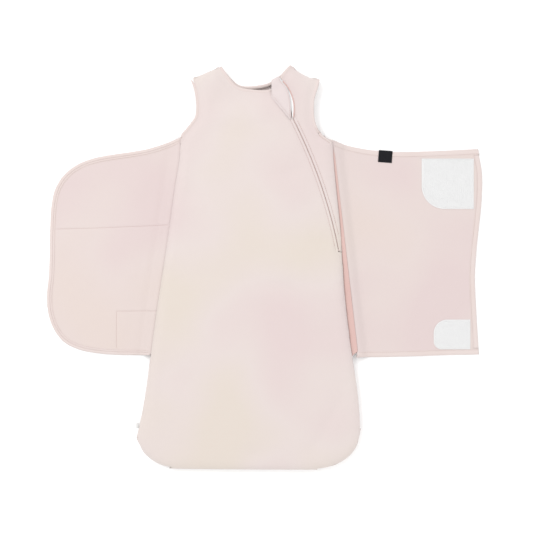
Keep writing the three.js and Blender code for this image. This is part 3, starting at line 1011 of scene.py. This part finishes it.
for node, half in (
    ("left_shoulder_seam", even(2.0 * MM)),
    ("right_shoulder_seam", even(2.0 * MM)),
    ("bottom_seam", even(2.0 * MM)),
    ("left_side_seam", seam_room(WING_SPAN["left_wing"])),
    ("right_side_seam", seam_room(WING_SPAN["right_wing"])),
):
    a, b = paired(*long_sides(node), 3 * MM)
    outer, other = (a, b) if inset_depth(a).mean() < inset_depth(b).mean() else (b, a)
    if node == "right_side_seam":
        fold_x = right_root[0] + (outer[:, 1] - right_root[1]) * right_axis[0] / right_axis[1]
        span = WING_SPAN["right_wing"]
        share = eased(outer[:, 1] - span[0] - 2 * MM, 10 * MM) * eased(208 * MM - outer[:, 1], 14 * MM)
        reach = np.maximum(fold_x + TAPE_SHOWS - outer[:, 0], 0) * share
        a, b = other, outer + np.column_stack([reach, 0 * reach])
    else:
        wide = np.maximum(np.linalg.norm(outer - other, axis=1), 1 * MM)[:, None]
        a, b = other, outer + (outer - other) / wide * 0.9 * MM

    def seam_z(p, half=half, node=node):
        z = SEAM_MIDDLE - 2.05 * MM + half(p)
        if node == "right_side_seam":
            z = z + TAPE_RISE * eased(outside_bag(p) + 2.2 * MM, 2.6 * MM) * (half(p) < 1.2 * MM)
        return z

    ends = (0, -1) if node == "bottom_seam" else (low_end(a),) if node.endswith("side_seam") else ()
    a, b = past(a, ends), past(b, ends)
    # the right seam's tape shows between the bag's edge and the wing, in a dusty pink that is painted shade
    # for the crease there
    look = PAINTED_SHADE_KNIT if node == "right_side_seam" else BINDING_KNIT
    piece = strip(node + "_tape", a, b, seam_z, half, half, look, across=9)
    is_on(piece, "bag", "binding_knit", node)


# ---------------------------------------------------------------- wings
WING_HALF = WING_THICK / 2
ROOT_Z = SEAM_MIDDLE + 0.8 * MM                 # a wing's middle where it is sewn in
FLOOR_Z = 1.95 * MM                             # and where it lies on the floor
ROOT_TUCK = 4.2 * MM
TUCKED = inset(smooth_loop(panel_outline("back_shell"), 1.5 * MM), ROOT_TUCK)


def outward_side(body, root, axis):
    """The unit direction in plan from a fold line out along its wing."""
    side = np.array((-axis[1], axis[0]))
    low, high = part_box(body + "_front")
    centre = np.array(((low.x + high.x) / 2, (low.y + high.y) / 2))
    return side if (centre - root) @ side > 0 else -side


RIGHT_SIDE = outward_side("right_wing", right_root, right_axis)


def run_on(line):
    """A free edge, run on at both ends until it is tucked into the bag's side."""
    ends = []
    for end, before in ((line[0], line[2]), (line[-1], line[-3])):
        direction = (end - before) / np.linalg.norm(end - before)
        steps = np.arange(0.5 * MM, 60 * MM, 0.5 * MM)
        trail = end + direction * steps[:, None]
        deep = inside(trail, BAG) & (nearest(trail, BAG, True)[0] >= ROOT_TUCK)
        stop = int(np.argmax(deep)) if deep.any() else 24
        ends.append(trail[:stop + 1:4] if stop > 4 else trail[stop:stop + 1])
    return np.vstack([ends[0][::-1], line, ends[1]])


def tucked_path(start, end):
    """The tucked silhouette's points from near one point to near another, the short way."""
    i, j = (int(np.linalg.norm(TUCKED - p, axis=1).argmin()) for p in (start, end))
    n = len(TUCKED)
    ahead = [TUCKED[k % n] for k in range(i, j + (n if j < i else 0) + 1)]
    back = [TUCKED[k % n] for k in range(i + (n if i < j else 0), j - 1, -1)]
    return np.array(ahead if len(ahead) < len(back) else back)


def settle(out):
    """From 0 at a wing's root to 1 where it has come down to the floor."""
    return eased(out, 21 * MM)


def right_out(p):
    return np.minimum((p - right_root) @ RIGHT_SIDE - TAPE_SHOWS, outside_bag(p))


def wing_middle(out_of, seed):
    def z(p):
        out = out_of(p)
        down = settle(out)
        ripple = (0.75 + 0.75 * waves(p, 66 * MM, seed, 2)) * 1.0 * MM * eased(out - 12 * MM, 45 * MM)
        rise = 0.5 * MM * np.exp(-((out - 30 * MM) / (9 * MM)) ** 2)
        return ROOT_Z * (1 - down) + (FLOOR_Z + ripple + rise) * down
    return z


LEFT_SEWN = [  # the stitching that holds the loop panels behind the left wing
    np.array(((-362, 67), (-300, 68.5), (-240, 71), (-166, 74))) * MM,
    np.array(((-258.6, -140), (-258.6, -76.4), (-185.4, -75.8))) * MM,
]
RIGHT_CREASE = np.array(((258, -134), (290, -104), (327, -78), (346, -60))) * MM
left_middle, right_middle = wing_middle(outside_bag, 8.3), wing_middle(right_out, 21.9)


def left_top(p):
    z = left_middle(p) + WING_HALF
    for line in LEFT_SEWN:
        z -= 0.55 * MM * np.exp(-(nearest(p, line)[0] / (1.3 * MM)) ** 2)
    return z


def right_top(p):
    d, _ = nearest(p, RIGHT_CREASE)
    return right_middle(p) + WING_HALF + 0.35 * MM * np.exp(-(d / (2.2 * MM)) ** 2)


def crossing(piece, wing, slot, *nodes):
    """A piece sewn into the bag's side, with its transform baked in and the CAD parts it stands for hidden.
    """
    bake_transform(piece)
    if nodes:
        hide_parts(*nodes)
    return piece


def hem_half(out_of, full):
    return lambda p: WING_HALF - 0.1 * MM + (full - WING_HALF + 0.1 * MM) * eased(out_of(p), 9 * MM)


def strip_row(a, b, share, middle, half):
    """A line of points on top of a strip, a share of the way from one side to the other."""
    a, b = paired(a, b, 2.4 * MM)
    p = a + (b - a) * share
    round_here = math.sin(math.acos(1 - 2 * share)) ** 0.55
    h = half(p) if callable(half) else half
    return np.column_stack([p, middle(p) + h * round_here * 0.66])


def on_top(line, top, lift=0.0):
    line = resample(line, 1.8 * MM)
    return np.column_stack([line, top(line) + lift])


# the left wing
inner, outer = long_sides("left_wing_binding")
if length_of(outer) < length_of(inner):
    inner, outer = outer, inner
outer, inner = run_on(outer), run_on(inner)
left_edge = smooth_line(outer, 2.6 * MM)
left_loop = np.vstack([left_edge, tucked_path(left_edge[-1], left_edge[0])[2:-2]])
left_loop = left_loop if area_of(left_loop) > 0 else left_loop[::-1]
shy = np.where(distance_to(left_loop, [left_edge]) < 0.5 * MM, 2.2 * MM, 0)
left_loop = left_loop + normals_of(left_loop, True) * shy[:, None]
left_cloth = sheet("left_wing_cloth", left_loop, left_top, WING_THICK, 4.8 * MM, (3 * MM, 7 * MM), WING_KNIT,
                   LEFT_SEWN)
crossing(left_cloth, "left_wing", "wing_knit", "left_wing_front", "left_wing_back")
left_hem_half = hem_half(outside_bag, 1.85 * MM)
LEFT_ROWS = (0.5, 0.82)
left_binding = strip("left_wing_binding_fold", outer, inner, left_middle, left_hem_half, left_hem_half,
                     BINDING_KNIT, 2.6 * MM, 9, LEFT_ROWS)
crossing(left_binding, "left_wing", "binding_knit", "left_wing_binding")
left_rows = [strip_row(outer, inner, share, left_middle, left_hem_half) for share in LEFT_ROWS]
left_rows += [on_top(line, left_top, 0.05 * MM) for line in LEFT_SEWN]
left_stitching = stitches("left_wing_stitching", left_rows, THREAD_WITH_GROOVE_SHADE, 0.7 * MM)
crossing(left_stitching, "left_wing", "binding_knit")

for node in ("left_loop_panel_upper", "left_loop_panel_lower"):
    loop = smooth_loop(outline(node), 2.6 * MM)
    loop = loop + normals_of(loop, True) * 1.0 * MM
    panel = sheet(node + "_pile", loop, lambda p: left_middle(p) - WING_HALF - 0.12 * MM, 0.6 * MM,
                  4.8 * MM, (2 * MM,), LOOP_TAPE)
    crossing(panel, "left_wing", "loop_tape", node)
    soft[node] = panel

# the right wing
hems = {}
for node in ("right_wing_top_hem", "right_wing_end_band", "right_wing_bottom_hem"):
    a, b = long_sides(node)
    middle_of_wing = outline("right_wing_front").mean(0)
    if np.linalg.norm(a.mean(0) - middle_of_wing) < np.linalg.norm(b.mean(0) - middle_of_wing):
        a, b = b, a
    hems[node] = [a, b]


def from_left(line):
    return line if line[0][0] < line[-1][0] else line[::-1]


def from_top(line):
    return line if line[0][1] > line[-1][1] else line[::-1]


def lengthen_left(line):
    """A hem's line, run on to the left until it is inside the bag."""
    whole = run_on(from_left(line))
    keep = int(np.argmin(np.linalg.norm(whole - from_left(line)[-1], axis=1)))
    return whole[:keep + 1]


top_hem = [lengthen_left(line) for line in hems["right_wing_top_hem"]]
end_band = [from_top(line) for line in hems["right_wing_end_band"]]
fold_edge = lambda y: right_root[0] + (y - right_root[1]) * right_axis[0] / right_axis[1] + 0.6 * MM
bottom_hem = []
for line in hems["right_wing_bottom_hem"]:
    line = from_left(line)
    bottom_hem.append(np.vstack([[(fold_edge(line[0][1]), line[0][1])], line]))
ends_low = bottom_hem[0][0]
root_ys = np.arange(ends_low[1] + 3 * MM, 212 * MM, 3 * MM)
fold_path = np.column_stack([fold_edge(root_ys), root_ys])
right_edge = np.vstack([smooth_line(top_hem[0], 2.6 * MM), smooth_line(end_band[0], 2.6 * MM),
                        smooth_line(bottom_hem[0], 2.6 * MM)[::-1]])
under_arm = tucked_path(fold_path[-1], right_edge[0])
right_loop = np.vstack([right_edge, fold_path, under_arm[3:-2]])
right_loop = right_loop if area_of(right_loop) > 0 else right_loop[::-1]
shy = np.where(distance_to(right_loop, [right_edge]) < 0.5 * MM, 2.0 * MM, 0)
right_loop = right_loop + normals_of(right_loop, True) * shy[:, None]
right_cloth = sheet("right_wing_cloth", right_loop, right_top, WING_THICK, 4.8 * MM, (3 * MM, 7 * MM),
                    WING_KNIT, [RIGHT_CREASE])
crossing(right_cloth, "right_wing", "wing_knit", "right_wing_front", "right_wing_back")
right_hem_half = hem_half(right_out, 1.8 * MM)
right_rows = []
for node, (a, b) in (("right_wing_top_hem", top_hem), ("right_wing_bottom_hem", bottom_hem),
                     ("right_wing_end_band", end_band)):
    extra = 0.25 * MM if node == "right_wing_end_band" else 0.0
    half = (lambda p, extra=extra: right_hem_half(p) + extra)
    piece = strip(node + "_fold", a, b, right_middle, half, right_hem_half, BINDING_KNIT,
                  2.6 * MM, 9, (BINDING_ROW,))
    crossing(piece, "right_wing", "binding_knit", node)
    soft[node] = piece
    right_rows.append(strip_row(a, b, BINDING_ROW, right_middle, half))
right_stitching = stitches("right_wing_stitching", right_rows, THREAD_WITH_GROOVE_SHADE)
crossing(right_stitching, "right_wing", "binding_knit")


# ---------------------------------------------------------------- hook patches and the tab
def hooks(name, loop, top, pitch, material):
    """Rows of small bent hooks over a patch."""
    low, high = loop.min(0), loop.max(0)
    spots = np.array([(x, y) for i, y in enumerate(np.arange(low[1], high[1], pitch))
                      for x in np.arange(low[0] + (i % 2) * pitch / 2, high[0], pitch)])
    spots = spots[inside(spots, loop)]
    spots = spots[nearest(spots, loop, True)[0] > HOOK_MARGIN]
    z = top(spots)
    profile = np.array(((0, 0, 0.3), (0.02, 0.55, 0.24), (0.3, 0.85, 0.2), (0.62, 0.62, 0.14))) * MM
    verts, faces = [], []
    for k, ((x, y), h) in enumerate(zip(spots, z)):
        turn = 1 if k % 2 else -1
        first = len(verts)
        for lean, height, girth in profile:
            for sx, sy in ((-1, -1), (1, -1), (1, 1), (-1, 1)):
                verts.append((x + turn * lean + sx * girth, y + sy * girth, h + height))
        faces += tube_faces(4, 4, first)
    return new_object(name, verts, faces, material)


PATCH = 1.0 * MM            # thickness of a patch
HOOK_MARGIN = 1.3 * MM      # from a patch's edge to its first hooks


def patch_top(p):
    return right_middle(p) + WING_HALF + PATCH


for node in ("hook_patch_upper", "hook_patch_lower"):
    loop = smooth_loop(outline(node), 2.0 * MM)

    def rolled(p, loop=loop):
        return patch_top(p) - 0.5 * MM * (1 - rounded(nearest(p, loop, True)[0], 1.2 * MM))

    base = sheet(node + "_tape", loop, rolled, PATCH - 0.3 * MM, 4 * MM, (0.4 * MM, 1.2 * MM, 2.6 * MM),
                 HOOK_TAPE)
    is_on(base, "right_wing", "hook_tape", node)
    soft[node] = base
    pile = hooks(node + "_hooks", loop, patch_top, 1.7 * MM, HOOK_PLASTIC)
    is_on(pile, "right_wing", "hook_tape")
    border = inset(loop, 2.0 * MM)
    seam = on_top(np.vstack([border, border[:1]]), patch_top, 0.02 * MM)
    is_on(stitches(node + "_stitching", [seam], PALE_THREAD), "right_wing", "hook_tape")

a, b = long_sides("black_tab")


def tab_middle(p):
    on_hem = eased(nearest(p, top_hem[1])[0] * np.where(p[:, 1] > 196 * MM, 1, 0), 3 * MM)
    return right_middle(p) + (1.75 + 0.55 * on_hem) * MM


tab = strip("black_tab_tape", a, b, tab_middle, 0.5 * MM, 0.45 * MM, BLACK_TAPE, 1.2 * MM, 11)
is_on(tab, "right_wing", "black_tape", "black_tab")


# ---------------------------------------------------------------- zip
def zip_line(start, end, offset, spacing=2.0 * MM):
    angles = np.arange(start, end, math.degrees(spacing / ZIP_RADIUS))
    return np.array([zip_point(a, offset) for a in angles])


ZIP_LOW, ZIP_HIGH = ZIP_ENDS
TAPE_BELOW, COIL_BELOW = 2.8 * MM, 2.1 * MM       # under the front's face, so that the lips close over them
for side, sign in (("left", -1), ("right", 1)):
    a = zip_line(ZIP_LOW, ZIP_HIGH, sign * 0.05 * MM)
    b = zip_line(ZIP_LOW, ZIP_HIGH, sign * 5.4 * MM)
    tape = strip(f"zip_tape_{side}_weave", a, b, lambda p: np.maximum(front_base(p) - TAPE_BELOW, 12.9 * MM),
                 0.35 * MM, 0.35 * MM, ZIP_TAPE)
    is_on(tape, "bag", "zip_tape", f"zip_tape_{side}")


def coil(name, start, end, offset, radius, wire, pitch, material, phase=0.0):
    """A zip's coil: one filament wound round the edge of its tape."""
    length = math.radians(end - start) * ZIP_RADIUS
    steps = int(length / pitch * 9)
    t = np.linspace(0, 1, steps)
    angles = np.radians(start + (end - start) * t)
    turn = 2 * math.pi * t * length / pitch + phase
    out = np.column_stack([np.cos(angles), np.sin(angles)])
    r = ZIP_RADIUS + offset + radius * np.cos(turn)
    marks = np.linspace(start, end, 90)
    heights = front_base(np.array([zip_point(m, offset) for m in marks])) - COIL_BELOW
    z = np.maximum(np.interp(np.degrees(angles), marks, heights), 13.6 * MM)
    path = np.column_stack([ZIP_CENTRE + out * r[:, None], z + 0.55 * MM * np.sin(turn)])
    tangent = np.gradient(path, axis=0)
    tangent /= np.linalg.norm(tangent, axis=1)[:, None]
    first = np.cross(tangent, (0, 0, 1.0))
    first /= np.linalg.norm(first, axis=1)[:, None]
    second = np.cross(tangent, first)
    sides = 5
    verts = np.stack([path + wire * (first * math.cos(a) + second * math.sin(a))
                      for a in (2 * math.pi * k / sides for k in range(sides))], axis=1).reshape(-1, 3)
    obj = new_object(name, verts, tube_faces(steps, sides), material)
    outward(obj)
    return obj


for side, sign, phase in (("left", -1, 0.0), ("right", 1, math.pi)):
    teeth = coil(f"zip_coil_{side}_winding", ZIP_LOW + 0.05, ZIP_HIGH - 0.05, sign * 0.75 * MM,
                 radius=1.0 * MM, wire=0.31 * MM, pitch=1.2 * MM, material=ZIP_COIL, phase=phase)
    is_on(teeth, "bag", "zip_coil", f"zip_coil_{side}")

for node, width in (("zip_slider", 0.35), ("zip_pull", 0.4), ("zip_top_stop_left", 0.2),
                    ("zip_top_stop_right", 0.2), ("zip_bottom_stop", 0.2)):
    obj = frame["nodes"][node]
    obj.data.materials.clear()
    obj.data.materials.append(ZIP_METAL)
    bevel = obj.modifiers.new("edges", "BEVEL")
    bevel.width = width * MM
    bevel.segments = 2
    bevel.limit_method = "ANGLE"

# rows of stitching beside the zip and round the bound edges
LIP_ROW = 5.5 * MM
top_rows = []
for offset in (-LIP_ROW, LIP_ROW):
    line = zip_line(ZIP_LOW + 0.4, ZIP_HIGH - (0.2 if offset < 0 else 3.4), offset)
    line = line[inside(line, BAG) & (distance_to(line, CLOSED) > 4 * MM)]
    top_rows.append(on_top(line, front_height, 0.12 * MM))
is_on(stitches("zip_lip_stitching", top_rows, THREAD_WITH_GROOVE_SHADE, 0.95 * MM), "bag", "binding_knit")
top_rows = []
for node in ("neck_binding_front", "neck_binding_right", "left_armhole_binding", "right_armhole_binding"):
    a, b = long_sides(node)
    if inset_depth(a).mean() > inset_depth(b).mean() and not node.startswith("neck"):
        a, b = b, a
    top_rows.append(strip_row(a, b, BINDING_ROW, front_middle, HALF_FRONT)[1:-1])
top_rows.append(on_top(underarm_row, front_height, 0.45 * MM))
bag_stitching = stitches("bag_stitching", top_rows, THREAD_WITH_GROOVE_SHADE, 0.8 * MM)
is_on(bag_stitching, "bag", "binding_knit")
a, b = long_sides("neck_binding_back")
back_rows = [strip_row(a, b, BINDING_ROW, back_middle, HALF_BACK)[1:-1]]
is_on(stitches("neck_back_stitching", back_rows, THREAD_WITH_GROOVE_SHADE), "bag", "binding_knit")

# the white underlap, and a dusty-pink strip on the edge of the side panel beside it, painted shade for the
# shadow line along that edge
under_loop = smooth_loop(outline("neck_underlap"), 1.6 * MM)
lowest = eased(278 * MM - under_loop[:, 1], 12 * MM)
under_loop = (under_loop + normals_of(under_loop, True) * 0.1 * MM
              - np.column_stack([lowest * 1.6, lowest * 9]) * MM)
underlap = sheet("neck_underlap_knit", under_loop,
                 lambda p: front_base(p) + 0.1 * MM, 0.9 * MM, 3 * MM, (1 * MM,),
                 WHITE_KNIT)
is_on(underlap, "bag", "lining_knit", "neck_underlap")
side_edges = stretches(smooth_loop(outline("side_panel_shell"), 1.5 * MM), 28)
nearest_edge = min(side_edges, key=lambda l: np.linalg.norm(l.mean(0) - np.array((47.5, 285)) * MM)
                   if np.linalg.norm(l[0] - l[-1]) > 40 * MM else 1)
shade_strip_line = nearest_edge[(nearest_edge[:, 1] > 254 * MM) & (nearest_edge[:, 1] < 325 * MM)]
out = normals_of(shade_strip_line, False)
under_line = smooth_loop(outline("neck_underlap"), 2 * MM)
ahead, behind = (nearest(shade_strip_line[10:11] + out[10:11] * step, under_line, True)
                 for step in (2 * MM, -2 * MM))
if ahead[0][0] > behind[0][0]:
    out = -out
shade_strip = strip("side_panel_painted_shade_strip", shade_strip_line + out * 1.3 * MM, shade_strip_line - out * 0.9 * MM,
               lambda p: front_base(p) + 0.1 * MM, 0.9 * MM, 0.9 * MM, PAINTED_SHADE_KNIT, 1.6 * MM)
is_on(shade_strip, "bag", "binding_knit")


# ---------------------------------------------------------------- chin guard
guard_root, guard_axis = joint_line("chin_guard_fold")
guard_side = np.array((-guard_axis[1], guard_axis[0]))
guard_loop = smooth_loop(outline("chin_guard_front"), 1.5 * MM)
if (guard_loop.mean(0) - guard_root) @ guard_side < 0:
    guard_side = -guard_side
guard_free = [l for l in stretches(guard_loop, 28) if ((l - guard_root) @ guard_side).mean() > 3 * MM]
sewn = np.clip((1.2 * MM - (guard_loop - guard_root) @ guard_side) / (1.2 * MM), 0, 1) * 1.6 * MM
guard_loop = guard_loop - guard_side * sewn[:, None]


def guard_low(p):
    out = (p - guard_root) @ guard_side
    free = distance_to(p, guard_free)
    z = front_base(p) + 0.25 * MM + 2.3 * MM * eased(out + 1 * MM, 8 * MM)
    return z - 0.7 * MM * (1 - eased(free, 7 * MM)) * eased(out - 14 * MM, 8 * MM)


def guard_share(p):
    """The guard thins where it is sewn down."""
    out = (p - guard_root) @ guard_side
    return 0.3 + 0.7 * eased(out + 1.6 * MM, 6 * MM)


def guard_top(p):
    edge = distance_to(p, guard_free)
    puff = 0.5 * MM * eased(edge, 9 * MM) + 0.1 * MM * waves(p, 9 * MM, 4.4)
    share = guard_share(p)
    return guard_low(p) + (2.3 * MM + puff) * share - 0.7 * MM * (1 - rounded(edge, 1.6 * MM)) * share


guard_front = sheet("chin_guard_front_jersey", guard_loop, guard_top, lambda p: 1.2 * MM * guard_share(p),
                    2.4 * MM, (0.4 * MM, 1.1 * MM, 2.2 * MM, 4 * MM), GUARD_KNIT)
guard_lining = sheet("chin_guard_lining_knit", guard_loop - normals_of(guard_loop, True) * -0.25 * MM,
                     lambda p: guard_top(p) - 1.25 * MM * guard_share(p),
                     lambda p: 0.9 * MM * guard_share(p), 2.8 * MM, (0.6 * MM, 2.2 * MM), WHITE_KNIT)
guard_pieces = [(guard_front, "wing_knit", ["chin_guard_front"]),
                (guard_lining, "lining_knit", ["chin_guard_lining"])]
along_hinge = np.linspace(0.5 * MM, 51.5 * MM, 40)
hinge_row = np.array([guard_root + guard_axis * t for t in along_hinge]) + guard_side * 1.4 * MM
guard_rows = [on_top(hinge_row, guard_top, 0.05 * MM)]
for line in guard_free:
    if np.linalg.norm(line[0] - line[-1]) > 40 * MM:
        n = normals_of(line, False)
        row = line + n * 2.2 * MM
        row = row if inside(row[5:6], guard_loop)[0] else line - n * 2.2 * MM
        guard_rows.append(on_top(row[2:-2], guard_top, 0.05 * MM))
guard_pieces.append((stitches("chin_guard_stitching", guard_rows, THREAD_WITH_GROOVE_SHADE, 0.45 * MM), "binding_knit", []))
for piece, slot, nodes in guard_pieces:
    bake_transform(piece)
    if nodes:
        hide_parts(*nodes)


# ---------------------------------------------------------------- labels
low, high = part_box("side_label")
y0, y1 = low.y, high.y
a = np.array(((low.x - 0.2 * MM, y0), (low.x + 4.5 * MM, y0)))
b = np.array(((low.x - 0.2 * MM, y1), (low.x + 4.5 * MM, y1)))
side_label = strip("side_label_tape", a, b, even(SEAM_MIDDLE + 1.2 * MM), 0.5 * MM, 0.5 * MM, LABEL_TAPE,
                   1 * MM)
is_on(side_label, "bag", "label_tape", "side_label")
low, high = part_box("care_label")
ys = np.linspace(low.y, high.y, 8)
a = np.column_stack([np.full(8, low.x), ys])
b = np.column_stack([np.full(8, high.x), ys])
care_label = strip("care_label_tape", a, b,
                   lambda p: back_lining_top(p) + 0.9 * MM + 0.3 * MM * waves(p, 15 * MM, 2.0),
                   0.4 * MM, 0.4 * MM, LABEL_TAPE, 2 * MM)
is_on(care_label, "bag", "label_tape", "care_label")


for node in ("left_loop_panel_upper", "left_loop_panel_lower"):
    smooth_loop(outline(node), 3 * MM)
for node in ("hook_patch_upper", "hook_patch_lower"):
    smooth_loop(outline(node), 3 * MM)
for node in ("front_wadding", "side_panel_wadding", "back_wadding"):
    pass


# ---------------------------------------------------------------- floor, camera and lights
def plain(name, colour, roughness):
    n = Nodes(name)
    grain = n.noise(35, 3).outputs["Fac"]
    return n.finish(n.ramp(grain, [(0.3, shade(colour, 0.995)), (0.7, colour)]), roughness)


FLOOR = 6.0
floor = new_object("floor", [(-FLOOR, -FLOOR, 0), (FLOOR, -FLOOR, 0), (FLOOR, FLOOR, 0), (-FLOOR, FLOOR, 0)],
                   [(0, 1, 2, 3)], plain("floor_look", (0.93, 0.93, 0.93, 1), 0.9))

camera_data = bpy.data.cameras.new("camera")
camera_data.lens = 100
camera_data.sensor_width = 36
camera = bpy.data.objects.new("camera", camera_data)
bpy.context.scene.collection.objects.link(camera)
camera.location = (3.2 * MM, 1.6 * MM, 2.588)
bpy.context.scene.camera = camera


def area_light(name, place, aim, size, power):
    data = bpy.data.lights.new(name, "AREA")
    data.shape = "DISK"
    data.size = size
    data.energy = power
    light = bpy.data.objects.new(name, data)
    light.location = place
    light.rotation_euler = (Vector(aim) - Vector(place)).to_track_quat("-Z", "Y").to_euler()
    bpy.context.scene.collection.objects.link(light)


area_light("key", (-1.6, 1.5, 2.6), (0, 0, 0), 1.8, 41)
area_light("fill", (1.9, -1.2, 2.4), (0, 0, 0), 2.2, 13)
world = bpy.data.worlds.new("studio")
world.use_nodes = True
world.node_tree.nodes["Background"].inputs["Color"].default_value = (1, 1, 1, 1)
world.node_tree.nodes["Background"].inputs["Strength"].default_value = 1.15
bpy.context.scene.world = world
bpy.context.scene.view_settings.view_transform = "Standard"
